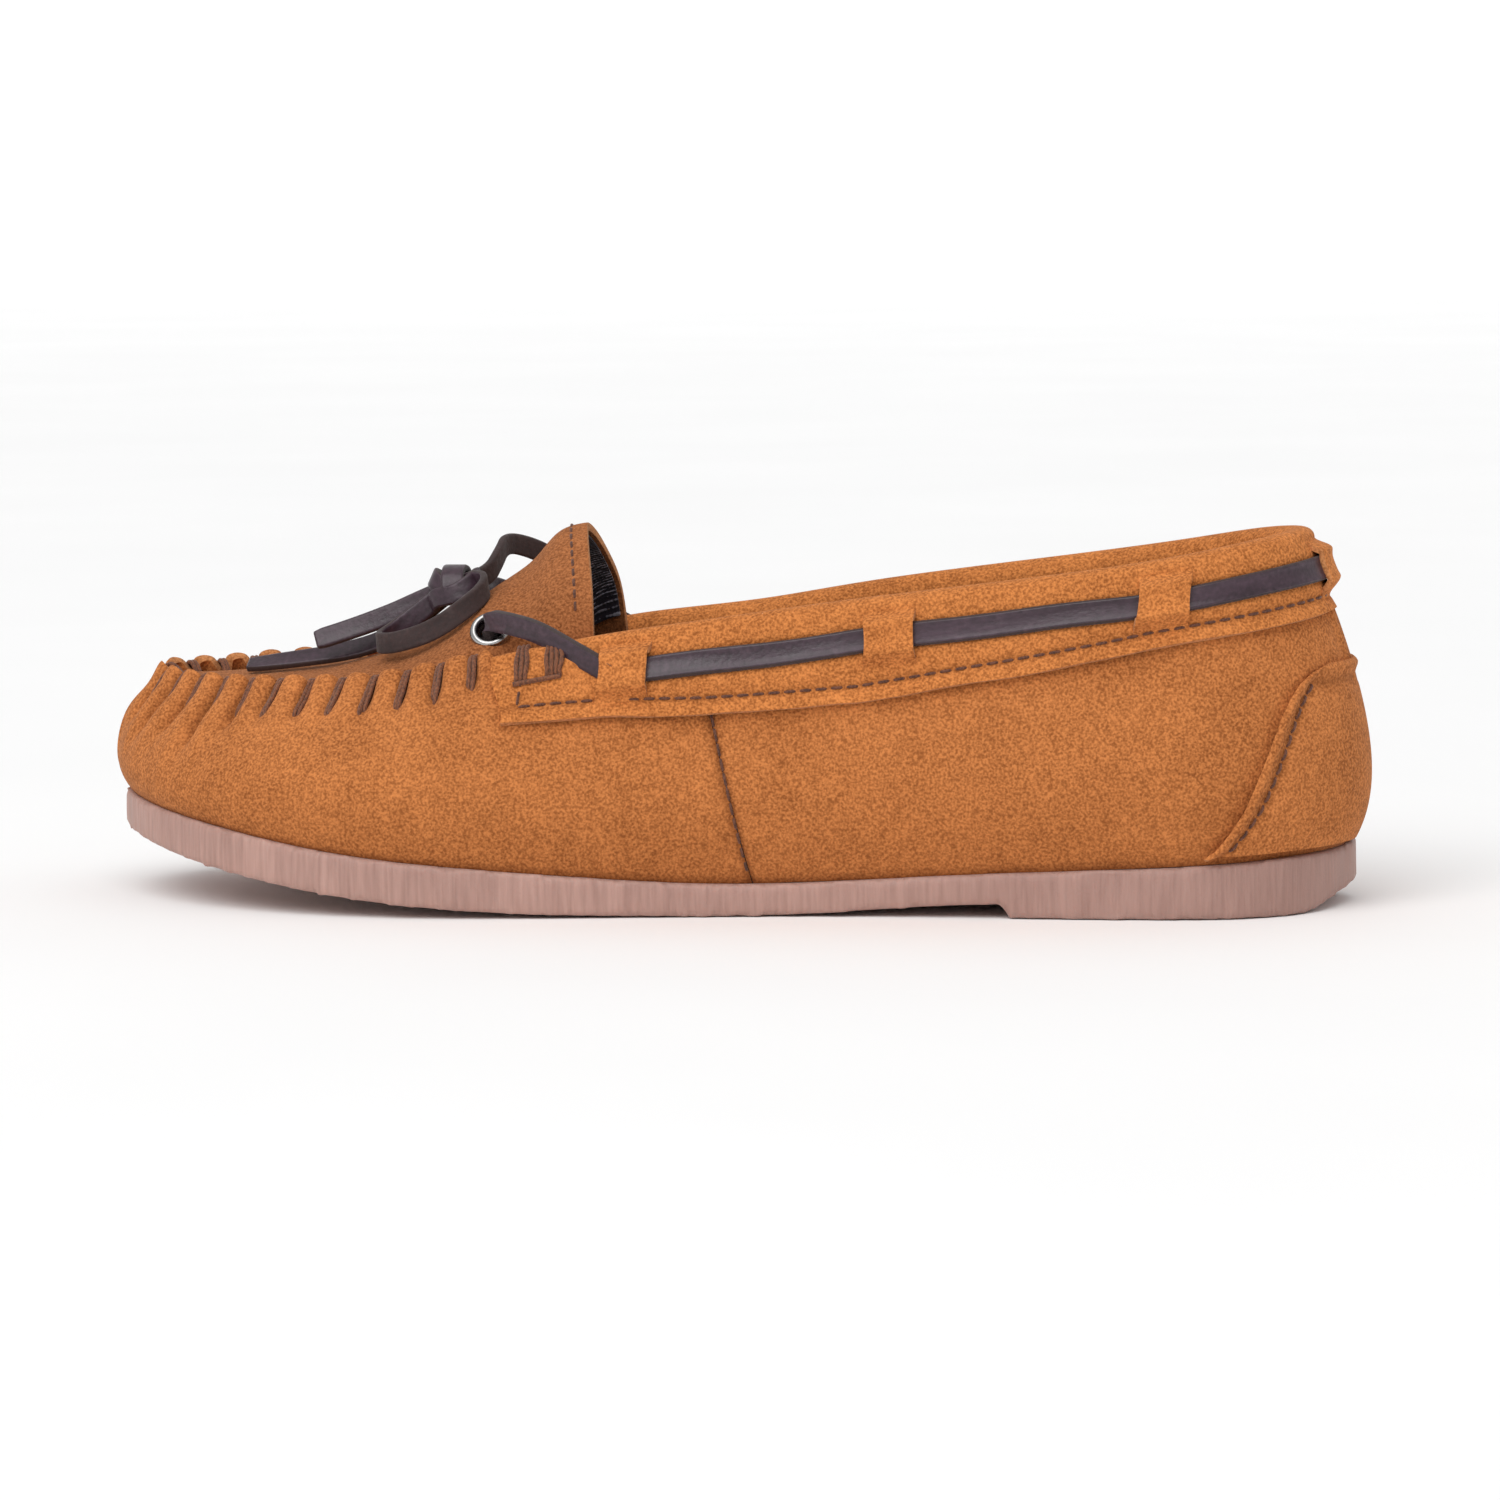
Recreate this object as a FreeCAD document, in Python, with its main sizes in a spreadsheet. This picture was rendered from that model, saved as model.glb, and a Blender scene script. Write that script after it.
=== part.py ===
import FreeCAD, Part
import math
import os

import Sketcher
from FreeCAD import Placement, Rotation, Vector

# A laced moccasin for the left foot, in millimetres.
# Frame: +Z up, the sole stands on z = 0, +X points to the heel, -X to the toe, -Y is the
# outer (lateral) side and +Y the inner (medial) side.  The origin is under the middle.

SIZES = {
    # sole
    "sole_length": 250.5,
    "ball_width": 84.0,
    "waist_width": 58.0,
    "heel_width": 61.0,
    "toe_seat": 20.5,
    "waist_seat": 6.3,
    "heel_seat": 12.0,
    "toe_spring": 13.5,
    "arch_rise": 2.6,
    "welt": 1.2,
    "board_thick": 1.6,
    "cushion_thick": 3.2,
    "sock_thick": 0.9,
    "layer_gap": 0.15,
    # upper
    "toe_rim": 44.0,
    "throat_rim": 54.5,
    "waist_rim": 61.8,
    "heel_rim": 74.0,
    "tongue_peak": 75.0,
    "leather": 1.6,
    "lining": 0.7,
    "collar_drop": 17.0,
    "collar_turn_in": 11.0,
    "collar_leather": 1.4,
    # lace and hardware
    "lace_width": 4.2,
    "lace_thick": 1.8,
    "lace_drop": 8.5,
    "loop_width": 9.6,
    "eyelet_flange": 8.4,
    "eyelet_hole": 4.8,
    "eyelet_wall": 0.25,
    "thread": 0.5,
    "pucker_thread": 1.1,
    "stitch_pitch": 3.6,
}

UP = Vector(0, 0, 1)
STATIONS_ROUND = 20
TOE_STATION = 10.0

# How a wall bulges: (low handle out in mm, low handle up as a share of the wall's height,
# high handle out in mm, high handle down as a share).
HEEL = (10.0, 0.26, 8.0, 0.35)
HEEL_SIDE = (7.0, 0.30, 4.0, 0.35)
WAIST = (7.0, 0.30, 3.0, 0.35)
SEAM = (6.0, 0.32, 5.0, 0.30)
BALL = (5.0, 0.35, 10.0, 0.15)
TOE_SIDE = (5.5, 0.30, 9.0, 0.25)
TOE = (5.5, 0.27, 8.0, 0.32)

# Stations round the shoe, from the back of the heel along the outer side to the toe and back
# along the inner side: width the sides are shares of, foot of the wall (share of the sole's
# length, share of that width), rim (the same shares), height the rim is a share of, bulge.
STATIONS = (
    ("heel_width", 0.487, 0.000, 0.449, 0.000, "heel_rim", 1.000, HEEL),
    ("heel_width", 0.423, -0.410, 0.411, -0.287, "heel_rim", 0.973, HEEL_SIDE),
    ("heel_width", 0.299, -0.500, 0.303, -0.418, "heel_rim", 0.912, HEEL_SIDE),
    ("waist_width", 0.120, -0.534, 0.120, -0.491, "waist_rim", 1.000, WAIST),
    ("waist_width", 0.000, -0.595, 0.000, -0.509, "waist_rim", 0.935, SEAM),
    ("ball_width", -0.100, -0.470, -0.088, -0.357, "throat_rim", 1.000, SEAM),
    ("ball_width", -0.200, -0.512, -0.176, -0.351, "throat_rim", 0.914, BALL),
    ("ball_width", -0.299, -0.494, -0.263, -0.321, "toe_rim", 1.023, BALL),
    ("ball_width", -0.391, -0.393, -0.351, -0.256, "toe_rim", 0.989, TOE_SIDE),
    ("ball_width", -0.463, -0.208, -0.419, -0.143, "toe_rim", 0.984, TOE),
    ("ball_width", -0.503, 0.071, -0.471, 0.048, "toe_rim", 1.000, TOE),
    ("ball_width", -0.475, 0.298, -0.435, 0.202, "toe_rim", 1.000, TOE),
    ("ball_width", -0.411, 0.435, -0.371, 0.292, "toe_rim", 1.018, TOE_SIDE),
    ("ball_width", -0.311, 0.488, -0.279, 0.327, "toe_rim", 1.034, BALL),
    ("ball_width", -0.208, 0.440, -0.184, 0.339, "throat_rim", 0.908, BALL),
    ("ball_width", -0.108, 0.375, -0.096, 0.333, "throat_rim", 0.991, SEAM),
    ("waist_width", 0.000, 0.474, 0.000, 0.483, "waist_rim", 0.922, SEAM),
    ("waist_width", 0.120, 0.457, 0.120, 0.483, "waist_rim", 1.000, WAIST),
    ("heel_width", 0.299, 0.484, 0.303, 0.418, "heel_rim", 0.919, HEEL_SIDE),
    ("heel_width", 0.423, 0.410, 0.411, 0.287, "heel_rim", 0.980, HEEL_SIDE),
)

# Side view of the sole: (share of its length, height it is a share of, share).
SEAT_LINE = (
    (0.493, "heel_seat", 1.00),
    (0.360, "heel_seat", 0.84),
    (0.190, "heel_seat", 0.68),
    (0.020, "waist_seat", 1.00),
    (-0.140, "waist_seat", 1.40),
    (-0.280, "toe_seat", 0.585),
    (-0.400, "toe_seat", 0.81),
    (-0.501, "toe_seat", 1.00),
)
TREAD_TOE = ((-0.507, 1.00), (-0.410, 0.64), (-0.280, 0.26), (-0.150, 0.06), (-0.020, 0.00))
TREAD_ARCH = ((0.020, 0.00), (0.100, 0.25), (0.170, 0.75), (0.231, 1.00))
HEEL_BREAST = 0.237
HEEL_END = 0.493
HEEL_CHAMFER = 0.463
CHAMFER_RISE = 0.33

# Collar: where its front edge lies, and how far its lower edge drops along it, as
# (station, share of the collar's drop).
COLLAR_FRONT = 5.73
COLLAR_LINE = ((0.0, 0.97), (1.0, 1.00), (1.7, 1.00), (2.7, 1.14), (3.0, 1.18), (4.0, 1.08),
               (COLLAR_FRONT, 0.83))
ROLL_DROP = 3.0
SEAM_TOP = 4.0
SEAM_FOOT = 3.65

# Apron and tongue: centreline heights as (share of the sole's length, height, share).
APRON_LINE = (
    (-0.471, "toe_rim", 0.985),
    (-0.395, "toe_rim", 0.988),
    (-0.331, "toe_rim", 1.036),
    (-0.283, "toe_rim", 1.102),
    (-0.240, "toe_rim", 1.212),
    (-0.194, "tongue_peak", 0.825),
    (-0.163, "tongue_peak", 0.893),
    (-0.138, "tongue_peak", 0.973),
    (-0.118, "tongue_peak", 0.996),
)
APRON_FRONT = 0.55
TONGUE_END = 5.08
# How far the middle of the tongue's end lies ahead of its sides.
TONGUE_BACK = 4.7
EYELET_STATION = 6.0
EYELET_SIDE = 0.785

# Keeper loops of the collar, as stations on the outer side; the inner side mirrors them.
LOOP_STATIONS = (4.72, 2.86, 1.62)


def make_sheet(document):
    """Put every size in the spreadsheet under its own name."""
    sheet = document.addObject("Spreadsheet::Sheet", "Sizes")
    for row, (name, value) in enumerate(SIZES.items(), start=1):
        sheet.set(f"A{row}", name)
        sheet.set(f"B{row}", str(value))
        sheet.setAlias(f"B{row}", name)
    document.recompute()
    return sheet


def through(pairs, x):
    """Read a smooth curve through (x, y) pairs, given in rising or falling x."""
    points = sorted(pairs)
    if x <= points[0][0]:
        return points[0][1]
    for (x0, y0), (x1, y1) in zip(points, points[1:]):
        if x <= x1:
            share = (x - x0) / (x1 - x0)
            return y0 + (y1 - y0) * share
    return points[-1][1]


def smooth(low, high, value):
    """Ease from 0 at low to 1 at high."""
    share = min(1.0, max(0.0, (value - low) / (high - low)))
    return share * share * (3.0 - 2.0 * share)


class Last:
    """The foot-shaped form that every sheet of the upper is laid on."""

    def __init__(self, size):
        self.size = size
        self.seat = open_curve([
            Vector(share * size("sole_length"), 0, part * size(name))
            for share, name, part in SEAT_LINE])
        feet, rims, lows, highs = [], [], [], []
        for width, foot_x, foot_y, rim_x, rim_y, height, part, bulge in STATIONS:
            foot = Vector(foot_x * size("sole_length"), foot_y * size(width), 0)
            rim = Vector(rim_x * size("sole_length"), rim_y * size(width), part * size(height))
            feet.append(foot)
            rims.append(rim)
        self.outline = closed_curve(feet)
        for index, (foot, rim) in enumerate(zip(feet, rims)):
            out = self.outward(self.outline, float(index))
            foot.z = self.seat_height(foot.x)
            low_out, low_up, high_out, high_down = STATIONS[index][-1]
            rise = rim.z - foot.z
            lows.append(foot + out * low_out + UP * (low_up * rise))
            highs.append(rim + out * high_out - UP * (high_down * rise))
        self.handles = [closed_curve(feet), closed_curve(lows), closed_curve(highs),
                        closed_curve(rims)]

    @staticmethod
    def outward(curve, station):
        tangent = curve.tangent(station % STATIONS_ROUND)[0]
        return Vector(-tangent.y, tangent.x, 0).normalize()

    def seat_height(self, x):
        """Height of the sole's upper face at x."""
        low, high = self.seat.FirstParameter, self.seat.LastParameter
        for _ in range(40):
            middle = (low + high) / 2.0
            if self.seat.value(middle).x > x:
                low = middle
            else:
                high = middle
        return self.seat.value(low).z

    def point(self, station, share):
        """Point on the outside of the wall, share 0 at the sole and 1 at the rim."""
        turn = station % STATIONS_ROUND
        foot, low, high, rim = [curve.value(turn) for curve in self.handles]
        rest = 1.0 - share
        return (foot * rest ** 3 + low * (3 * rest * rest * share)
                + high * (3 * rest * share * share) + rim * share ** 3)

    def normal(self, station, share):
        step = 0.01
        share = min(share, 1.0 - step)
        along = self.point(station + step, share) - self.point(station - step, share)
        up = self.point(station, share + step) - self.point(station, max(share - step, 0.0))
        return up.cross(along).normalize()

    def wall(self, station, share, out):
        """Point at a distance out from the wall's outside."""
        return self.point(station, share) + self.normal(station, share) * out

    def share_at_drop(self, station, drop):
        """Where on the wall the height is drop below the rim."""
        target = self.point(station, 1.0).z - drop
        low, high = 0.0, 1.0
        for _ in range(30):
            middle = (low + high) / 2.0
            if self.point(station, middle).z < target:
                low = middle
            else:
                high = middle
        return (low + high) / 2.0


def open_curve(points):
    curve = Part.BSplineCurve()
    curve.interpolate(Points=points)
    return curve


def closed_curve(points):
    curve = Part.BSplineCurve()
    knots = [float(index) for index in range(len(points) + 1)]
    curve.interpolate(Points=points, Parameters=knots, PeriodicFlag=True)
    return curve


def grid_surface(place, out, columns, rows):
    surface = Part.BSplineSurface()
    surface.interpolate([
        [place(column / (columns - 1), row / (rows - 1), out) for row in range(rows)]
        for column in range(columns)])
    return surface


def sheet_solid(place, inner, outer, columns, rows):
    """Solid between two offsets of a sheet; place(along, across, out) gives its points."""
    surfaces = [grid_surface(place, out, columns, rows) for out in (inner, outer)]
    faces = [surface.toShape() for surface in surfaces]
    for iso, pick in (("uIso", 0), ("uIso", 1), ("vIso", 2), ("vIso", 3)):
        edges = [getattr(surface, iso)(surface.bounds()[pick]).toShape()
                 for surface in surfaces]
        faces.append(Part.makeRuledSurface(edges[0], edges[1], 1))
    shell = Part.makeShell(faces)
    shell.sewShape()
    solid = Part.makeSolid(shell)
    if solid.Volume < 0:
        solid.reverse()
    return solid


def rounded_route(points):
    """Straight runs joined by the largest tangent arcs that the runs leave room for."""
    edges = []
    radii = []
    start = points[0]
    for before, corner, after in zip(points, points[1:], points[2:]):
        back = (before - corner).normalize()
        ahead = (after - corner).normalize()
        half_turn = (math.pi - back.getAngle(ahead)) / 2.0
        run = min((before - corner).Length, (after - corner).Length)
        trim = 0.45 * run
        radii.append(trim / math.tan(half_turn))
        enter = corner + back * trim
        leave = corner + ahead * trim
        bisector = (back + ahead).normalize()
        centre = corner + bisector * (radii[-1] / math.cos(half_turn))
        middle = centre - bisector * radii[-1]
        edges.append(Part.LineSegment(start, enter).toShape())
        edges.append(Part.Arc(enter, middle, leave).toShape())
        start = leave
    edges.append(Part.LineSegment(start, points[-1]).toShape())
    return Part.Wire(edges), radii


def tube(name, points, diameter):
    """Round cord along a route of straight runs and tangent arcs."""
    wire, radii = rounded_route(points)
    start = (points[1] - points[0]).normalize()
    section = Part.Wire(Part.makeCircle(diameter / 2.0, points[0], start))
    solid = wire.makePipeShell([section], True, False, 1)
    length = wire.Length
    expected = math.pi * diameter * diameter / 4.0 * length
    print(f"{name}: length {length:.1f}, radii {[round(radius, 1) for radius in radii]}, "
          f"volume {solid.Volume:.1f} against {expected:.1f}")
    if abs(solid.Volume - expected) > 0.03 * expected:
        raise RuntimeError(f"{name} did not sweep cleanly")
    return solid


def feature(document, name, shape):
    """A sub-part whose shape comes from Part's own functions."""
    item = document.addObject("Part::Feature", name)
    item.Label = name
    item.Shape = shape
    item.Placement = Placement()
    return item


# ---------------------------------------------------------------- sole and footbed

class Profile:
    """A sketch whose every vertex and spline pole is bound to the spreadsheet."""

    def __init__(self, body, role, name, size):
        self.sketch = body.newObject("Sketcher::SketchObject", name)
        plane = [item for item in body.Origin.OriginFeatures if item.Role == role][0]
        self.sketch.AttachmentSupport = [(plane, "")]
        self.sketch.MapMode = "FlatFace"
        self.size = size
        self.ends = []

    def fix(self, geometry, position, across, upward):
        """Bind one point; a term is (share, name) and then the names of what is added."""
        for kind, term in (("DistanceX", across), ("DistanceY", upward)):
            share, name, *plus = term
            index = self.sketch.addConstraint(
                Sketcher.Constraint(kind, -1, 1, geometry, position, self.value(term)))
            rule = " + ".join([f"Sizes.{name} * {share}"] + [f"Sizes.{extra}" for extra in plus])
            self.sketch.setExpression(f"Constraints[{index}]", rule)

    def value(self, term):
        share, name, *plus = term
        return share * self.size(name) + sum(self.size(extra) for extra in plus)

    def line(self, start, end):
        first = Vector(self.value(start[0]), self.value(start[1]), 0)
        last = Vector(self.value(end[0]), self.value(end[1]), 0)
        geometry = self.sketch.addGeometry(Part.LineSegment(first, last))
        self.join(geometry, start)

    def spline(self, terms):
        """Smooth curve through points given as terms."""
        points = [Vector(self.value(across), self.value(upward), 0) for across, upward in terms]
        curve = open_curve(points)
        geometry = self.sketch.addGeometry(curve)
        self.join(geometry, terms[0])

    def join(self, geometry, start):
        self.fix(geometry, 1, *start)
        self.ends.append(geometry)

    def close(self):
        """Each piece ends where the next one starts."""
        for index, geometry in enumerate(self.ends):
            following = self.ends[(index + 1) % len(self.ends)]
            self.sketch.addConstraint(
                Sketcher.Constraint("Coincident", geometry, 2, following, 1))


def seat_line(*plus):
    """The sole's upper face in side view, raised by the named layers."""
    return [((share, "sole_length"), (part, name, *plus)) for share, name, part in SEAT_LINE]


def footprint(size, inset):
    """Closed outline of the foot through the stations, moved in by an inset."""
    points = []
    for width, foot_x, foot_y, *_ in STATIONS:
        across = foot_x * (size("sole_length") - 2.0 * inset)
        upward = foot_y * (size(width) - 2.0 * inset)
        points.append(Vector(across, upward, 0))
    return closed_curve(points)


def sole_layer(document, name, size, seat, tread, inset):
    """A slab with the sole's side view, cut to the foot's outline."""
    body = document.addObject("PartDesign::Body", name)
    body.Label = name
    side = Profile(body, "XZ_Plane", name + "_side", size)
    side.spline(seat)
    side.line(seat[-1], tread[0][0])
    for start, run in zip(tread, tread[1:] + [[seat[0]]]):
        if len(start) > 1:
            side.spline(start)
        if start[-1] != run[0]:
            side.line(start[-1], run[0])
    side.close()
    pad = body.newObject("PartDesign::Pad", name + "_pad")
    pad.Profile = side.sketch
    pad.SideType = "Symmetric"
    pad.setExpression("Length", "Sizes.ball_width * 1.3")
    side.sketch.Visibility = False
    document.recompute()
    outside = Profile(body, "XY_Plane", name + "_outline", size)
    outside.sketch.addGeometry(footprint(size, inset))
    reach_x = ((0.7, "sole_length"), (-0.7, "sole_length"))
    reach_y = ((1.0, "ball_width"), (-1.0, "ball_width"))
    corners = [(reach_x[0], reach_y[0]), (reach_x[1], reach_y[0]),
               (reach_x[1], reach_y[1]), (reach_x[0], reach_y[1])]
    for start, end in zip(corners, corners[1:] + corners[:1]):
        outside.line(start, end)
    outside.close()
    pocket = body.newObject("PartDesign::Pocket", name + "_trim")
    pocket.Profile = outside.sketch
    pocket.SideType = "Two sides"
    pocket.Type = "ThroughAll"
    pocket.Type2 = "ThroughAll"
    document.recompute()
    return body


def make_sole(document, size):
    length = "sole_length"
    toe = [((share, length), (part, "toe_spring")) for share, part in TREAD_TOE]
    arch = [((share, length), (part, "arch_rise")) for share, part in TREAD_ARCH]
    breast = [((HEEL_BREAST, length), (0.0, "heel_seat"))]
    chamfer = [((HEEL_CHAMFER, length), (0.0, "heel_seat"))]
    heel = [((HEEL_END, length), (CHAMFER_RISE, "heel_seat"))]
    sole_layer(document, "outsole", size, seat_line(), [toe, arch, breast, chamfer, heel],
               -size("welt"))
    below = ["layer_gap"]
    inset = 2.0 * size("leather")
    for name, thick in (("insole_board", "board_thick"), ("footbed_cushion", "cushion_thick"),
                        ("sock_lining", "sock_thick")):
        low = seat_line(*below)
        high = seat_line(*below, thick)
        sole_layer(document, name, size, high, [list(reversed(low))], inset)
        below += [thick, "layer_gap"]
        inset += size("leather") / 2.0


# ---------------------------------------------------------------- upper

def seam_station(share):
    return SEAM_FOOT + (SEAM_TOP - SEAM_FOOT) * share


def collar_drop(last, station):
    """How far the collar's lower edge lies below the rim."""
    turn = min(station % STATIONS_ROUND, STATIONS_ROUND - station % STATIONS_ROUND)
    return through(COLLAR_LINE, turn) * last.size("collar_drop")


def panel_top(last, station):
    """Upper end of the side panels: the rim round the apron, under the collar elsewhere."""
    turn = min(station % STATIONS_ROUND, STATIONS_ROUND - station % STATIONS_ROUND)
    covered = last.share_at_drop(station, ROLL_DROP + 1.0)
    return covered + (1.0 - covered) * smooth(COLLAR_FRONT - 0.05, COLLAR_FRONT + 0.3, turn)


def make_vamp(document, last, size):
    def place(along, across, out):
        first = seam_station(across)
        station = first + along * (STATIONS_ROUND - 2.0 * first)
        return last.wall(station, across * panel_top(last, station), out)

    def under(along, across, out):
        station = SEAM_TOP + along * (STATIONS_ROUND - 2.0 * SEAM_TOP)
        share = 0.03 + across * (0.90 * panel_top(last, station) - 0.03)
        return last.wall(station, share, out)

    leather = size("leather")
    feature(document, "vamp_wrap", sheet_solid(place, -leather, 0.0, 61, 11))
    outer = -leather - size("layer_gap")
    feature(document, "vamp_lining",
            sheet_solid(under, outer - size("lining"), outer, 49, 9))


def make_quarters(document, last, size):
    leather = size("leather")
    gap = size("layer_gap")
    for name, side in (("quarter_lateral", 1.0), ("quarter_medial", -1.0)):
        def place(along, across, out):
            edge = gap / 20.0
            station = edge + along * (seam_station(across) - 2.0 * edge)
            share = across * panel_top(last, station)
            return last.wall(side * station, share, out)
        feature(document, name, sheet_solid(place, -leather, 0.0, 25, 11))

    def under(along, across, out):
        station = -seam_station(across) + along * 2.0 * seam_station(across)
        share = 0.03 + across * (panel_top(last, station) - 0.05)
        return last.wall(station, share, out)

    outer = -leather - 2.0 * gap - 1.0
    feature(document, "quarter_lining",
            sheet_solid(under, outer - size("lining"), outer, 49, 9))


COUNTER_REACH = 1.48
COUNTER_TOP = 0.60
COUNTER_FOOT = 0.035


def counter_station(share):
    """Half width of the heel counter, in stations, at a share of the wall's height."""
    level = min(share / COUNTER_TOP, 0.99)
    return COUNTER_REACH * (1.0 - level ** 2.2) ** 0.8


def make_counter(document, last, size):
    def place(along, across, out):
        share = COUNTER_FOOT + across * (0.985 * COUNTER_TOP - COUNTER_FOOT)
        station = (2.0 * along - 1.0) * counter_station(share)
        return last.wall(station, share, out)

    gap = size("layer_gap")
    leather = size("leather")
    feature(document, "heel_counter", sheet_solid(place, gap, gap + 1.2, 25, 13))
    feature(document, "heel_stiffener",
            sheet_solid(place, -leather - gap - 1.0, -leather - gap, 25, 13))


def collar_place(last, size):
    """The collar's path: up the outside, over the rim and down the inside."""
    leather = size("collar_leather")
    hug = size("layer_gap")
    inside = -(size("leather") + 1.0 + size("lining") + 4.0 * hug)
    middle = (hug + inside) / 2.0
    reach = (hug - inside) / 2.0

    def place(along, across, out):
        station = COLLAR_FRONT * (2.0 * along - 1.0)
        if across <= 0.5:
            drop = collar_drop(last, station)
            drop += (ROLL_DROP - drop) * across / 0.5
            return last.wall(station, last.share_at_drop(station, drop), hug + out)
        share = last.share_at_drop(station, ROLL_DROP)
        if across <= 0.75:
            angle = math.pi * (across - 0.5) / 0.25
            centre = last.wall(station, share, middle)
            side = last.normal(station, share)
            return (centre + side * ((reach + out) * math.cos(angle))
                    + UP * ((ROLL_DROP - leather + out) * math.sin(angle)))
        drop = ROLL_DROP + (size("collar_turn_in") - ROLL_DROP) * (across - 0.75) / 0.25
        return last.wall(station, last.share_at_drop(station, drop), inside - out)

    return place


def make_collar(document, last, size):
    place = collar_place(last, size)
    feature(document, "collar_band", sheet_solid(place, 0.0, size("collar_leather"), 61, 33))


# ---------------------------------------------------------------- apron and tongue

class Apron:
    """The apron over the forefoot, running on into the tongue."""

    def __init__(self, last, size):
        self.last = last
        self.line = open_curve([
            Vector(share * size("sole_length"), 0, part * size(name))
            for share, name, part in APRON_LINE])
        self.leather = size("leather")
        self.gap = size("layer_gap")
        self.tuck = 2.0 * (size("collar_leather") + size("lining")) + size("leather") + 0.8
        self.front = self.edge(TOE_STATION - APRON_FRONT), self.edge(TOE_STATION + APRON_FRONT)

    def height(self, x):
        low, high = self.line.FirstParameter, self.line.LastParameter
        for _ in range(40):
            middle = (low + high) / 2.0
            if self.line.value(middle).x < x:
                low = middle
            else:
                high = middle
        return self.line.value(low).z

    def edge(self, station):
        """Where the apron meets the upstanding wall, or lies inside the collar."""
        turn = min(station, STATIONS_ROUND - station)
        inside = smooth(COLLAR_FRONT + 0.35, COLLAR_FRONT - 0.05, turn)
        out = -self.leather - self.gap - inside * (self.tuck - self.leather)
        drop = self.leather + inside * 1.5
        share = self.last.share_at_drop(station, drop)
        return self.last.wall(station, share, out)

    def along(self, station):
        """Position along the apron of a station on its outer side."""
        return (TOE_STATION - APRON_FRONT - station) / (TOE_STATION - APRON_FRONT - TONGUE_END)

    def top(self, along, side):
        """Point of the outer face; side runs from -1 (outer edge) to 1 (inner edge)."""
        travel = APRON_FRONT + (TOE_STATION - APRON_FRONT - TONGUE_END) * along
        left = self.edge(TOE_STATION - travel)
        right = self.edge(TOE_STATION + travel)
        share = (side + 1.0) / 2.0
        point = left + (right - left) * share
        bow = self.edge(TOE_STATION + side * APRON_FRONT)
        chord = self.front[0] + (self.front[1] - self.front[0]) * share
        point += (bow - chord) * (1.0 - along) ** 6
        back = TONGUE_BACK * smooth(0.62, 1.0, along)
        ridge = self.height((left.x + right.x) / 2.0 - back)
        rise = max(ridge - (left.z + right.z) / 2.0, 0.0)
        crown = 1.0 - 0.8 * abs(side) ** 1.9 - 0.2 * abs(side) ** 14
        peak = 1.0 - 0.62 * abs(side) ** 1.5 - 0.38 * abs(side) ** 12
        point.z += rise * (crown + (peak - crown) * smooth(0.75, 1.0, along))
        point.x -= back * (1.0 - abs(side) ** 1.3)
        return point

    def place(self, along, side, out):
        step = 0.01
        ahead = self.top(min(along + step, 1.0), side) - self.top(max(along - step, 0.0), side)
        across = (self.top(along, min(side + step, 1.0))
                  - self.top(along, max(side - step, -1.0)))
        normal = across.cross(ahead).normalize()
        if normal.z < 0:
            normal = normal * -1.0
        return self.top(along, side) + normal * out


def eyelet_spots(apron):
    """Where the lace passes through the apron's sides, as (name, along, side)."""
    rear = apron.along(EYELET_STATION)
    return (
        ("eyelet_lateral", rear, -EYELET_SIDE),
        ("eyelet_medial", rear, EYELET_SIDE),
    )


def knot_holes(apron):
    """Where the lace comes out again, under the knot, as (along, side)."""
    along = apron.along(KNOT_ALONG)
    return (along, KNOT_SIDE - HOLE_SPREAD), (along, KNOT_SIDE + HOLE_SPREAD)


def make_apron(document, apron, size):
    leather = size("leather")
    solid = sheet_solid(lambda along, across, out: apron.place(along, 2.0 * across - 1.0, out),
                        -leather, 0.0, 41, 21)
    barrel = size("eyelet_hole") / 2.0 + size("eyelet_wall") + size("layer_gap")
    passage = size("lace_thick")
    spots = [(along, side, barrel) for _, along, side in eyelet_spots(apron)]
    spots += [(along, side, passage) for along, side in knot_holes(apron)]
    holes = []
    for along, side, radius in spots:
        low = apron.place(along, side, -2.0 * leather)
        high = apron.place(along, side, leather)
        holes.append(Part.makeCylinder(radius, (high - low).Length, low, high - low))
    feature(document, "apron_plug", solid.cut(holes))
    lined = apron.along(KNOT_ALONG + 1.1)

    room = size("lace_thick") + 2.0 * size("layer_gap")

    def under(along, across, out):
        start = lined + along * (0.995 - lined)
        below = room * (1.0 - smooth(0.87, 0.96, start))
        return apron.place(start, 0.94 * (2.0 * across - 1.0), out - below)

    outer = -leather - size("layer_gap")
    feature(document, "tongue_lining",
            sheet_solid(under, outer - size("lining"), outer, 33, 15))


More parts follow.
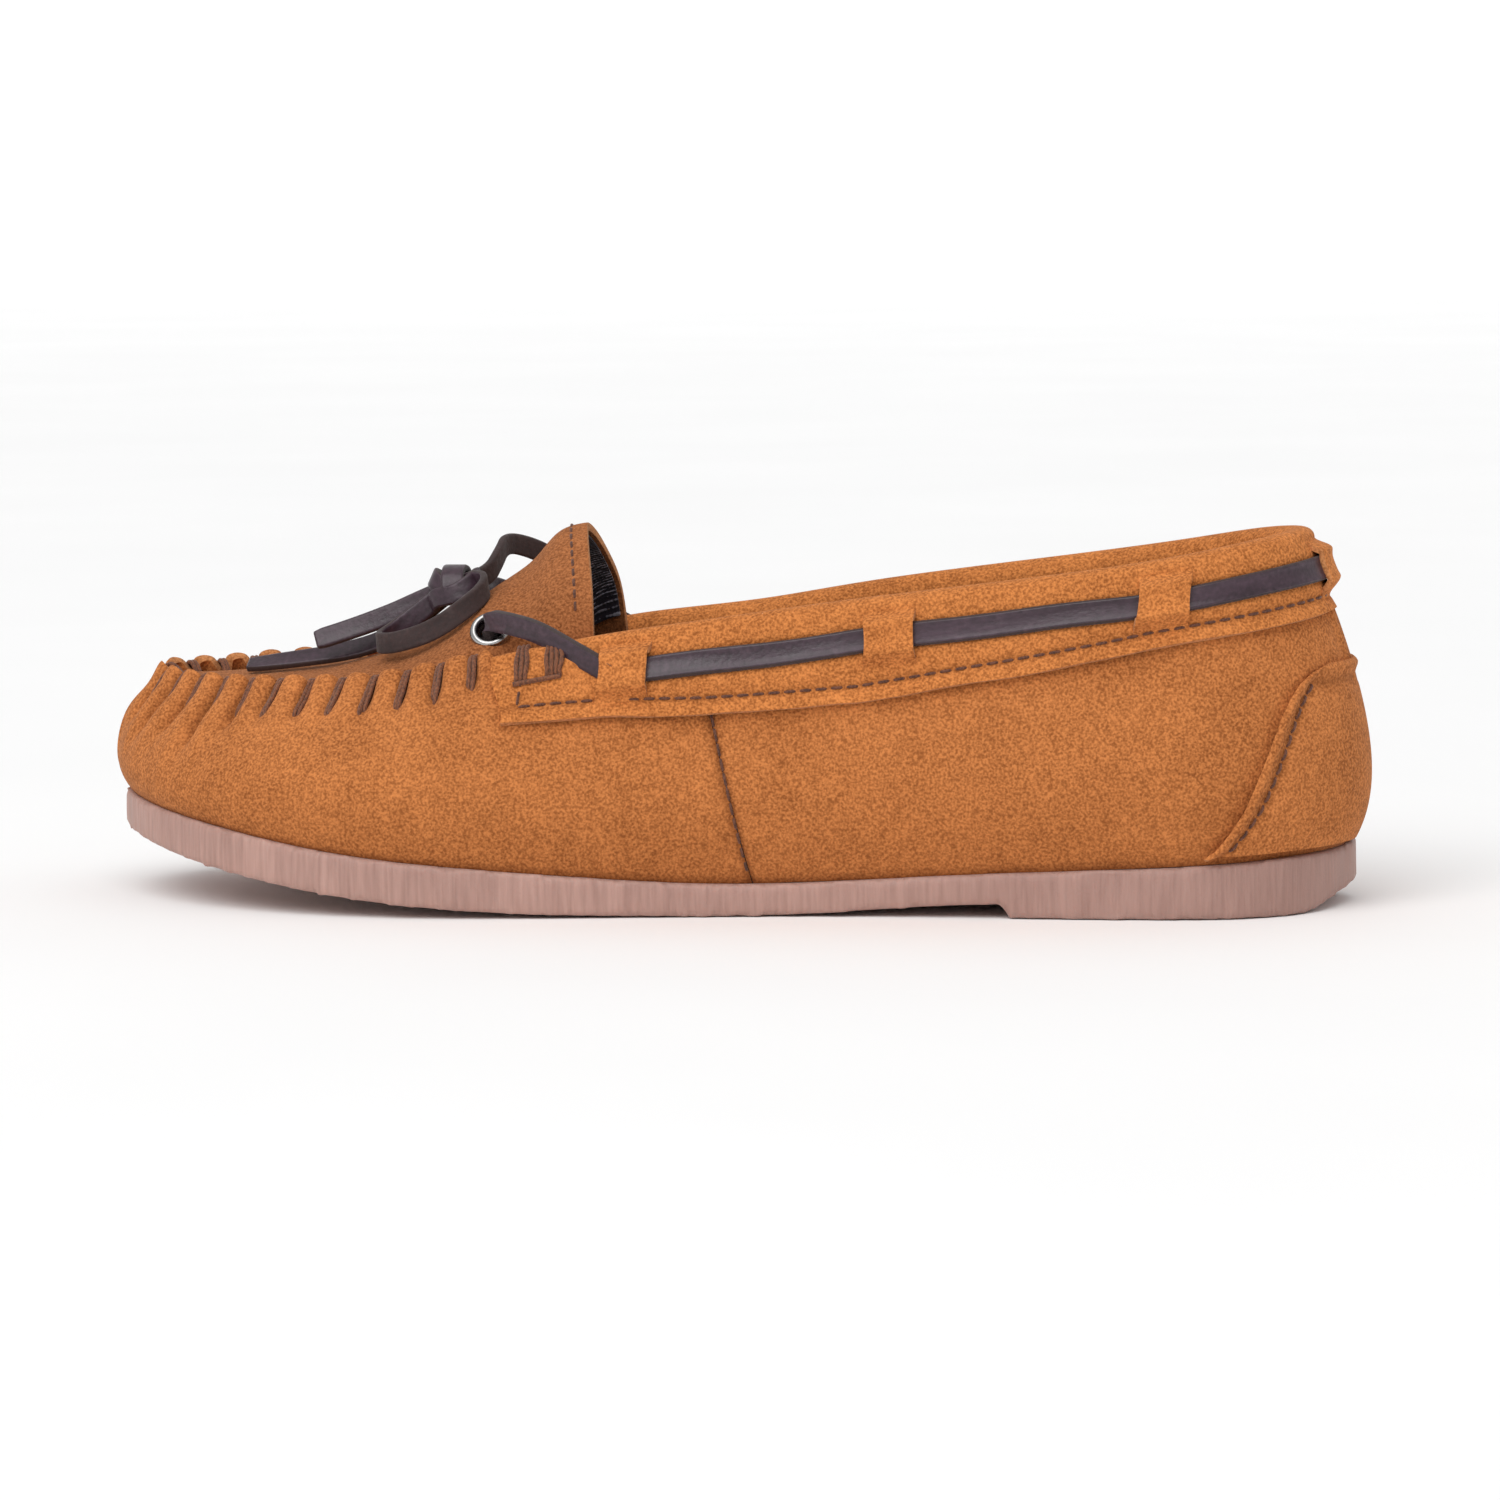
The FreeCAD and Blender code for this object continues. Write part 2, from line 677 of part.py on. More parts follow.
def make_eyelets(document, apron, size):
    """Rolled rings: a turned section on each body's own plane, laid on the apron."""
    for name, along, side in eyelet_spots(apron):
        body = document.addObject("PartDesign::Body", name)
        body.Label = name
        ring = Profile(body, "XZ_Plane", name + "_section", size)
        hole = (0.5, "eyelet_hole")
        wall = (0.5, "eyelet_hole", "eyelet_wall")
        rim = (0.5, "eyelet_flange")
        shoulder = (0.42, "eyelet_flange")
        lip = (0.56, "eyelet_hole")
        seat = (0.0, "leather", "layer_gap")
        crown = (0.56, "leather")
        mid = (0.40, "leather")
        foot = (-1.1, "leather")
        corners = [(hole, foot), (wall, foot), (wall, seat), (rim, seat), (rim, mid),
                   (shoulder, crown), (lip, crown), (hole, mid)]
        for start, end in zip(corners, corners[1:] + corners[:1]):
            ring.line(start, end)
        ring.close()
        turned = body.newObject("PartDesign::Revolution", name + "_turned")
        turned.Profile = ring.sketch
        turned.ReferenceAxis = (ring.sketch, ["V_Axis"])
        turned.Angle = 360.0
        document.recompute()
        low = apron.place(along, side, 0.0)
        high = apron.place(along, side, 1.0)
        body.Placement = Placement(low, Rotation(UP, high - low))


# ---------------------------------------------------------------- lace

def strap_place(last, size, first, second):
    """The lace lying on the collar between two stations."""
    floor = size("layer_gap") * 2.0 + size("collar_leather")
    half = size("lace_width") / 2.0

    def place(along, across, out):
        station = first + (second - first) * along
        drop = size("lace_drop") + half * (1.0 - 2.0 * across)
        return last.wall(station, last.share_at_drop(station, drop), floor + out)

    return place


def make_collar_lace(document, last, size):
    reach = LOOP_STATIONS[0] + 0.2
    place = strap_place(last, size, -reach, reach)
    feature(document, "lace_collar_run", sheet_solid(place, 0.0, size("lace_thick"), 61, 5))


def make_loops(document, last, size):
    """The collar's keeper loops, each bridging over the lace."""
    base = size("layer_gap") * 2.0 + size("collar_leather")
    over = size("lace_thick") + size("layer_gap")
    stations = [0.0]
    for station in LOOP_STATIONS:
        stations += [station, -station]
    solids = []
    for centre in stations:
        step = 0.01
        speed = (last.point(centre + step, 0.8) - last.point(centre - step, 0.8)).Length
        half = size("loop_width") / 2.0 * (2.0 * step) / speed

        def place(along, across, out):
            station = centre + half * (2.0 * along - 1.0)
            spread = 1.35 * size("lace_width")
            drop = size("lace_drop") + spread * (1.0 - 2.0 * across)
            bulge = smooth(1.0, 0.48, abs(2.0 * across - 1.0))
            return last.wall(station, last.share_at_drop(station, drop),
                             base + over * bulge + out)

        solids.append(sheet_solid(place, 0.0, size("collar_leather"), 7, 17))
    feature(document, "collar_lace_loops", Part.Compound(solids))


def make_leads(document, last, apron, size):
    """The lace between the collar's first loop and the eyelet on each side."""
    floor = size("layer_gap") * 2.0 + size("collar_leather")
    reach = LOOP_STATIONS[0] + 0.24
    for name, flip in (("lace_lead_lateral", 1.0), ("lace_lead_medial", -1.0)):
        spot = eyelet_spots(apron)[0 if flip > 0 else 1]
        share = last.share_at_drop(flip * reach, size("lace_drop"))
        start = last.wall(flip * reach, share, floor + size("layer_gap"))
        ahead = last.wall(flip * (reach + 0.2), share, floor + 0.6)
        mouth = apron.place(spot[1], spot[2], 1.6)
        above = apron.place(spot[1], spot[2], 4.5)
        middle = (ahead + above) * 0.5 + UP * 2.2
        middle.y -= flip * 2.0
        centre = open_curve([start, ahead, middle, above, mouth])
        first, final = centre.FirstParameter, centre.LastParameter

        def place(along, across, out):
            spot_on = first + (final - first) * along
            tangent = centre.tangent(spot_on)[0]
            side = Vector(0, -flip, 0)
            upright = tangent.cross(side).normalize()
            if upright.z < 0:
                upright = upright * -1.0
            facing = upright.cross(tangent).normalize()
            if facing.y * flip > 0:
                facing = facing * -1.0
            narrow = 1.0 - 0.3 * smooth(0.8, 1.0, along)
            half = size("lace_width") / 2.0 * narrow
            return centre.value(spot_on) + upright * (half * (2.0 * across - 1.0)) + facing * out

        feature(document, name, sheet_solid(place, 0.0, size("lace_thick"), 21, 4))


def make_underpasses(document, apron, size):
    """The lace under the apron, from the side eyelet to the one beneath the bow."""
    spots = eyelet_spots(apron)
    leather = size("leather")
    gap = size("layer_gap")
    half = size("lace_width") / 2.0
    for name, outer, inner in zip(("lace_underpass_lateral", "lace_underpass_medial"),
                                  spots, knot_holes(apron)):
        side_from, side_to = outer[2], inner[1]
        reach = 0.06 if side_from < 0 else -0.06

        def place(along, across, out):
            side = (side_from - reach) + (side_to - side_from + 2.0 * reach) * along
            spot = outer[1] + (inner[0] - outer[1]) * along
            low = apron.top(spot - 0.01, side)
            high = apron.top(spot + 0.01, side)
            step = half * 0.02 / (high - low).Length
            return apron.place(spot + step * (2.0 * across - 1.0), side, out)

        strap = sheet_solid(place, -leather - gap - size("lace_thick"), -leather - gap, 15, 5)
        feature(document, name, strap)


# The bow lies on the apron: its points are chosen by hand from the knot's centre.
KNOT_ALONG = 6.345
KNOT_SIDE = -0.13
HOLE_SPREAD = 0.085
KNOT_HALF = Vector(5.2, 4.4, 3.1)
KNOT_LIFT = 0.9
BOW = {
    "bow_loop_near": ((-2.2, -1.2, -0.6), (-7.6, -2.1, -5.0), (-12.0, -3.7, -8.4),
                      (-14.2, -6.9, -9.8), (-13.8, -11.0, -10.2), (-9.4, -13.4, -9.8),
                      (-1.6, -14.9, -7.2), (4.8, -12.9, -2.6), (7.8, -8.3, 0.6),
                      (6.0, -3.8, 2.4), (1.6, -1.6, 1.2)),
    "bow_loop_far": ((2.2, 1.4, 1.3), (5.2, 4.8, 2.0), (6.6, 9.2, 5.6), (7.0, 14.2, 8.4),
                     (11.4, 19.4, 6.8), (15.4, 24.2, 3.8), (14.0, 28.0, -2.2),
                     (8.4, 26.8, -4.2), (3.6, 20.0, -1.2), (2.0, 12.0, -0.2),
                     (0.8, 7.0, -0.2), (-0.9, 1.4, -1.0)),
    "bow_tail_upper": ((0.9, 0.7, 1.0), (-7.8, 0.9, -2.6), (-14.4, 0.6, -5.6),
                       (-21.6, 0.1, -8.2), (-29.2, -0.7, -10.6)),
    "bow_tail_lower": ((-1.0, 1.2, 0.0), (-7.2, 3.3, -5.0), (-12.8, 4.3, -9.2),
                       (-19.8, 4.1, -12.2), (-29.0, 4.3, -14.2), (-44.8, 5.3, -16.2)),
}


def make_bow(document, apron, size):
    centre = apron.place(apron.along(KNOT_ALONG), KNOT_SIDE, KNOT_HALF.z + KNOT_LIFT)
    half = KNOT_HALF
    stretch = FreeCAD.Matrix(half.x, 0, 0, centre.x, 0, half.y, 0, centre.y,
                             0, 0, half.z, centre.z, 0, 0, 0, 1)
    body = Part.makeSphere(1.0).transformGeometry(stretch)
    section = size("lace_width") * size("lace_thick")
    diameter = 2.0 * math.sqrt(section / math.pi)
    for name, route in BOW.items():
        cord = tube(name, [centre + Vector(*point) for point in route], diameter)
        feature(document, name, cord.cut(body))
    feature(document, "bow_knot", body)


# ---------------------------------------------------------------- stitching

PUCKERS = 24
PUCKER_FIRST = 6.12
# A gathering thread: depths of its foot and its bend, and its end past the crest.
THREAD_DROPS = (6.5, 1.2)
THREAD_END_IN = 1.8
THREAD_END_DOWN = 0.9


def capsule(start, end, radius):
    """A short length of thread."""
    return Part.makeCylinder(radius, (end - start).Length, start, end - start)


def even_stations(last, first, final, count):
    """Stations that divide the rim between two stations into equal lengths."""
    steps = 400
    marks = [first + (final - first) * step / steps for step in range(steps + 1)]
    rims = [last.point(mark, 1.0) for mark in marks]
    run = [0.0]
    for before, after in zip(rims, rims[1:]):
        run.append(run[-1] + (after - before).Length)
    stations = []
    for index in range(count):
        wanted = run[-1] * index / (count - 1)
        stations.append(through(list(zip(run, marks)), wanted))
    return stations


def make_pucker_threads(document, last, size):
    """Thick threads that gather the wall into pleats round the apron."""
    radius = size("pucker_thread") / 2.0
    proud = radius + size("layer_gap")
    solids = []
    for station in even_stations(last, PUCKER_FIRST, STATIONS_ROUND - PUCKER_FIRST, PUCKERS):
        foot, bend = [last.wall(station, last.share_at_drop(station, drop), proud)
                      for drop in THREAD_DROPS]
        crest = last.wall(station, 1.0, -size("leather") / 2.0) + UP * (proud + 0.3)
        inward = last.normal(station, 1.0) * -1.0
        inward.z = 0.0
        end = crest + inward.normalize() * THREAD_END_IN - UP * THREAD_END_DOWN
        wire, _ = rounded_route([foot, bend, crest, end])
        section = Part.Wire(Part.makeCircle(radius, foot, (bend - foot).normalize()))
        solids.append(wire.makePipeShell([section], True, False, 1))
    feature(document, "apron_stitches", Part.Compound(solids))


def stitch_row(place, pitch, radius):
    """Dashes of thread along a line; place(share) gives the line's points."""
    points = [place(step / 40.0) for step in range(41)]
    length = sum((after - before).Length for before, after in zip(points, points[1:]))
    count = int(length / pitch)
    return [capsule(place((index + 0.15) / count), place((index + 0.75) / count), radius)
            for index in range(count)]


def make_stitch_rows(document, last, apron, size):
    radius = size("thread") / 2.0
    gap = size("layer_gap")
    pitch = size("stitch_pitch")
    collar_out = 2.0 * gap + size("collar_leather") + radius

    def collar_line(share):
        station = (COLLAR_FRONT - 0.1) * (2.0 * share - 1.0)
        drop = collar_drop(last, station) - 3.2
        return last.wall(station, last.share_at_drop(station, drop), collar_out)

    rows = {"collar_stitches": [collar_line]}
    for flip in (1.0, -1.0):
        def front_line(share, flip=flip):
            station = flip * (COLLAR_FRONT - 0.1)
            low = collar_drop(last, station) - 3.2
            drop = low + (5.0 - low) * share
            return last.wall(station, last.share_at_drop(station, drop), collar_out)

        def side_line(share, flip=flip):
            part = 0.04 + share * 0.44
            station = flip * (seam_station(part) + 0.06)
            return last.wall(station, part, gap + radius)

        def counter_line(share, flip=flip):
            part = 0.04 + share * (COUNTER_TOP - 0.12)
            station = flip * (counter_station(part) - 0.12)
            return last.wall(station, part, 2.0 * gap + 1.2 + radius)

        rows["collar_stitches"].append(front_line)
        rows.setdefault("side_seam_stitches", []).append(side_line)
        rows.setdefault("counter_stitches", []).append(counter_line)

    def tongue_line(share):
        return apron.place(0.935, 1.7 * share - 0.85, gap + radius)

    rows["tongue_stitches"] = [tongue_line]
    for name, lines in rows.items():
        solids = []
        for line in lines:
            solids += stitch_row(line, pitch, radius)
        feature(document, name, Part.Compound(solids))


def make_bar_tacks(document, last, size):
    """Heavy thread bars that fix the collar's front ends to the wall."""
    radius = size("pucker_thread") / 2.0
    out = 2.0 * size("layer_gap") + size("collar_leather") + radius
    for name, flip in (("bar_tack_lateral", 1.0), ("bar_tack_medial", -1.0)):
        solids = []
        for station, bars in ((COLLAR_FRONT - 0.30, 2), (COLLAR_FRONT - 0.62, 3)):
            for bar in range(bars):
                spot = flip * (station - bar * 0.06)
                ends = [last.wall(spot, last.share_at_drop(spot, drop), out)
                        for drop in (4.0, 8.0)]
                solids.append(capsule(ends[0], ends[1], radius * 0.9))
        feature(document, name, Part.Compound(solids))


def check_and_write(document):
    """Refuse a failed object or an unsound solid, then write each sub-part."""
    document.recompute()
    for item in document.Objects:
        if "Invalid" in item.State or "Error" in item.State:
            raise RuntimeError(f"{item.Label} failed: {item.State}")
    os.makedirs("parts", exist_ok=True)
    for item in document.Objects:
        is_body = item.TypeId == "PartDesign::Body"
        if not (is_body or item.TypeId == "Part::Feature"):
            continue
        shape = item.Shape
        if shape.isNull() or not shape.isValid() or not shape.Solids:
            raise RuntimeError(f"{item.Label} is not a sound solid")
        box = shape.BoundBox
        print(f"{item.Label}: solids {len(shape.Solids)}, volume {shape.Volume:.0f}, "
              f"x {box.XMin:.1f} {box.XMax:.1f}, y {box.YMin:.1f} {box.YMax:.1f}, "
              f"z {box.ZMin:.1f} {box.ZMax:.1f}")
        shape.exportStep(f"parts/{item.Label}.step")


def main():
    document = FreeCAD.newDocument("moccasin")
    sheet = make_sheet(document)

    def size(name):
        return float(sheet.get(name))

    last = Last(size)
    make_sole(document, size)
    make_vamp(document, last, size)
    make_quarters(document, last, size)
    make_counter(document, last, size)
    make_collar(document, last, size)
    apron = Apron(last, size)
    make_apron(document, apron, size)
    make_eyelets(document, apron, size)
    make_collar_lace(document, last, size)
    make_loops(document, last, size)
    make_leads(document, last, apron, size)
    make_underpasses(document, apron, size)
    make_bow(document, apron, size)
    make_pucker_threads(document, last, size)
    make_stitch_rows(document, last, apron, size)
    make_bar_tacks(document, last, size)
    check_and_write(document)


main()
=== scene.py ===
import logging
import math
from dataclasses import dataclass, field
from enum import Enum
from typing import Callable

import bpy
import numpy as np
from mathutils import Matrix, Quaternion, Vector


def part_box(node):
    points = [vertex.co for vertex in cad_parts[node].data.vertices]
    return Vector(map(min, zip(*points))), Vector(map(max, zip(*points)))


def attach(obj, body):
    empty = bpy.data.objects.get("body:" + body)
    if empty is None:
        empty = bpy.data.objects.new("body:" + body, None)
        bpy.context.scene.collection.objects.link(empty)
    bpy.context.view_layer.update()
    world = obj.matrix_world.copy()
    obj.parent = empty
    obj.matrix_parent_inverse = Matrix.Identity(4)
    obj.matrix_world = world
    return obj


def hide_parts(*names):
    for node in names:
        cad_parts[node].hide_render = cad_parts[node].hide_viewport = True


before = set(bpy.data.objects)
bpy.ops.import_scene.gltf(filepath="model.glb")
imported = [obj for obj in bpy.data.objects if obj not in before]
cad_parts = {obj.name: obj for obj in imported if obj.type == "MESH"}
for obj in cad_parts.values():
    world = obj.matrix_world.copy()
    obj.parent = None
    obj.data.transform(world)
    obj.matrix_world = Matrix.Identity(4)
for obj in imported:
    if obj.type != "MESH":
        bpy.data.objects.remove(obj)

log = logging.getLogger("moccasin")
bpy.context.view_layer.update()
BODY = "root"
MM = 0.001
Place = Callable[[np.ndarray, np.ndarray], np.ndarray]


class Side(Enum):
    """The two sides of the shoe, as the sign that turns a station from the heel."""

    OUTER = 1.0
    INNER = -1.0

    @property
    def word(self) -> str:
        """The side's word in the names of its pieces."""
        return "lateral" if self is Side.OUTER else "medial"


# ---------------------------------------------------------------- numbers and curves

def ease(low: float, high: float, value: np.ndarray) -> np.ndarray:
    """Ease from 0 at low to 1 at high.

    Args:
        low: Where the easing starts.
        high: Where it ends; it may be below low.
        value: Values to ease.

    Returns:
        Shares from 0 to 1.
    """
    share = np.clip((np.asarray(value, float) - low) / (high - low), 0.0, 1.0)
    return share * share * (3.0 - 2.0 * share)


def hump(value: np.ndarray, width: float, power: int = 2) -> np.ndarray:
    """Swell to 1 where value is 0 and fade away over width.

    Args:
        value: Distances from the hump's middle.
        width: Distance where it has fallen to about a third.
        power: How flat the top is; even.

    Returns:
        Heights from 0 to 1.
    """
    return np.exp(-(value / width) ** power)


def run_of(points: np.ndarray) -> np.ndarray:
    """Length reached at each point of a row of them."""
    return np.concatenate([[0.0], np.cumsum(np.linalg.norm(np.diff(points, axis=0), axis=1))])


def unit(vectors: np.ndarray) -> np.ndarray:
    """Scale each row to length one.

    Args:
        vectors: Rows of three numbers.

    Returns:
        The rows at length one.
    """
    size = np.linalg.norm(vectors, axis=-1, keepdims=True)
    return vectors / np.maximum(size, 1e-12)


def ripple(points: np.ndarray, pitch: float, seed: float) -> np.ndarray:
    """Soft unevenness of hand-worked leather, from -1 to 1.

    Args:
        points: Places on the piece, in metres.
        pitch: Rough size of a swelling, in metres.
        seed: Shifts the pattern.

    Returns:
        One value for each point.
    """
    x, y, z = (points / pitch * 2.0).T
    wave = np.sin(x + 1.7 * np.sin(0.8 * z + seed)) * np.cos(0.9 * y + 0.6 * z + seed)
    return 0.6 * wave + 0.4 * np.sin(1.7 * x - 1.3 * y + 2.1 * z + 2.0 * seed)


class ClosedCurve:
    """Smooth closed curve through evenly numbered points."""

    def __init__(self, points: np.ndarray) -> None:
        """Find the curve's poles.

        Args:
            points: Rows of three numbers that the curve passes through.
        """
        count = len(points)
        system = np.zeros((count, count))
        for index in range(count):
            system[index, index] = 4.0 / 6.0
            system[index, (index + 1) % count] = 1.0 / 6.0
            system[index, (index - 1) % count] = 1.0 / 6.0
        self.poles = np.linalg.solve(system, points)

    def at(self, station: np.ndarray) -> np.ndarray:
        """Points of the curve.

        Args:
            station: Places along the curve, one for each point passed through.

        Returns:
            Rows of three numbers.
        """
        count = len(self.poles)
        turn = np.mod(station, count)
        start = np.floor(turn).astype(int)
        part = (turn - start)[:, None]
        rest = 1.0 - part
        weights = (rest ** 3, 3 * part ** 3 - 6 * part ** 2 + 4,
                   -3 * part ** 3 + 3 * part ** 2 + 3 * part + 1, part ** 3)
        return sum(weight / 6.0 * self.poles[(start + shift - 1) % count]
                   for shift, weight in enumerate(weights))


def profile(rows: list[tuple[float, float]]) -> Callable[[np.ndarray], np.ndarray]:
    """Smooth open line through (place, height) rows.

    Args:
        rows: Pairs in rising or falling place.

    Returns:
        A function that gives heights for places.
    """
    points = np.array(sorted(rows))
    run = run_of(points)
    count = len(points)
    gaps = np.diff(run)
    slopes = np.diff(points, axis=0) / gaps[:, None]
    system = np.zeros((count, count))
    right = np.zeros((count, 2))
    for index in range(1, count - 1):
        before, after = gaps[index - 1], gaps[index]
        system[index, index - 1] = 1.0 / before
        system[index, index] = 2.0 / before + 2.0 / after
        system[index, index + 1] = 1.0 / after
        right[index] = 3.0 * (slopes[index - 1] / before + slopes[index] / after)
    system[0, 0] = system[-1, -1] = 1.0
    bend = (slopes[1] - slopes[0]) / (gaps[0] + gaps[1])
    right[0] = slopes[0] - bend * gaps[0]
    bend = (slopes[-1] - slopes[-2]) / (gaps[-1] + gaps[-2])
    right[-1] = slopes[-1] + bend * gaps[-1]
    tangents = np.linalg.solve(system, right)
    fine = np.linspace(0.0, run[-1], 600)
    piece = np.clip(np.searchsorted(run, fine) - 1, 0, count - 2)
    span = gaps[piece][:, None]
    part = ((fine - run[piece])[:, None]) / span
    line = ((2 * part ** 3 - 3 * part ** 2 + 1) * points[piece]
            + (part ** 3 - 2 * part ** 2 + part) * span * tangents[piece]
            + (-2 * part ** 3 + 3 * part ** 2) * points[piece + 1]
            + (part ** 3 - part ** 2) * span * tangents[piece + 1])
    return lambda place: np.interp(place, line[:, 0], line[:, 1])


# ---------------------------------------------------------------- the last

# How a wall bulges: low handle out (m) and up (share of the height), high handle out and down.
HEEL = (0.0100, 0.26, 0.0080, 0.35)
HEEL_SIDE = (0.0070, 0.30, 0.0040, 0.35)
WAIST = (0.0070, 0.30, 0.0030, 0.35)
SEAM = (0.0060, 0.32, 0.0050, 0.30)
BALL = (0.0050, 0.35, 0.0100, 0.15)
TOE_SIDE = (0.0055, 0.30, 0.0090, 0.25)
TOE = (0.0055, 0.27, 0.0080, 0.32)

# Stations round the shoe from the back of the heel along the outer side to the toe and back:
# width the sides are shares of, foot (shares of length and width), rim (the same), height the
# rim is a share of, bulge.
TOE_STATION = 10.0
STATIONS = (
    ("heel_width", 0.487, 0.000, 0.449, 0.000, "heel_rim", 1.000, HEEL),
    ("heel_width", 0.423, -0.410, 0.411, -0.287, "heel_rim", 0.973, HEEL_SIDE),
    ("heel_width", 0.299, -0.500, 0.303, -0.418, "heel_rim", 0.912, HEEL_SIDE),
    ("waist_width", 0.120, -0.534, 0.120, -0.491, "waist_rim", 1.000, WAIST),
    ("waist_width", 0.000, -0.595, 0.000, -0.509, "waist_rim", 0.935, SEAM),
    ("ball_width", -0.100, -0.470, -0.088, -0.357, "throat_rim", 1.000, SEAM),
    ("ball_width", -0.200, -0.512, -0.176, -0.351, "throat_rim", 0.914, BALL),
    ("ball_width", -0.299, -0.494, -0.263, -0.321, "toe_rim", 1.023, BALL),
    ("ball_width", -0.391, -0.393, -0.351, -0.256, "toe_rim", 0.989, TOE_SIDE),
    ("ball_width", -0.463, -0.208, -0.419, -0.143, "toe_rim", 0.984, TOE),
    ("ball_width", -0.503, 0.071, -0.471, 0.048, "toe_rim", 1.000, TOE),
    ("ball_width", -0.475, 0.298, -0.435, 0.202, "toe_rim", 1.000, TOE),
    ("ball_width", -0.411, 0.435, -0.371, 0.292, "toe_rim", 1.018, TOE_SIDE),
    ("ball_width", -0.311, 0.488, -0.279, 0.327, "toe_rim", 1.034, BALL),
    ("ball_width", -0.208, 0.440, -0.184, 0.339, "throat_rim", 0.908, BALL),
    ("ball_width", -0.108, 0.375, -0.096, 0.333, "throat_rim", 0.991, SEAM),
    ("waist_width", 0.000, 0.474, 0.000, 0.483, "waist_rim", 0.922, SEAM),
    ("waist_width", 0.120, 0.457, 0.120, 0.483, "waist_rim", 1.000, WAIST),
    ("heel_width", 0.299, 0.484, 0.303, 0.418, "heel_rim", 0.919, HEEL_SIDE),
    ("heel_width", 0.423, 0.410, 0.411, 0.287, "heel_rim", 0.980, HEEL_SIDE),
)
SEAT_LINE = (
    (0.493, "heel_seat", 1.00), (0.360, "heel_seat", 0.84), (0.190, "heel_seat", 0.68),
    (0.020, "waist_seat", 1.00), (-0.140, "waist_seat", 1.40), (-0.280, "toe_seat", 0.585),
    (-0.400, "toe_seat", 0.81), (-0.501, "toe_seat", 1.00),
)
APRON_LINE = (
    (-0.471, "toe_rim", 0.985), (-0.395, "toe_rim", 0.988), (-0.331, "toe_rim", 1.036),
    (-0.283, "toe_rim", 1.102), (-0.240, "toe_rim", 1.212), (-0.194, "tongue_peak", 0.825),
    (-0.163, "tongue_peak", 0.893), (-0.138, "tongue_peak", 0.973),
    (-0.118, "tongue_peak", 0.996),
)
COLLAR_LINE = ((0.0, 0.97), (1.0, 1.00), (1.7, 1.00), (2.7, 1.14), (3.0, 1.18), (4.0, 1.08),
               (5.73, 0.83))


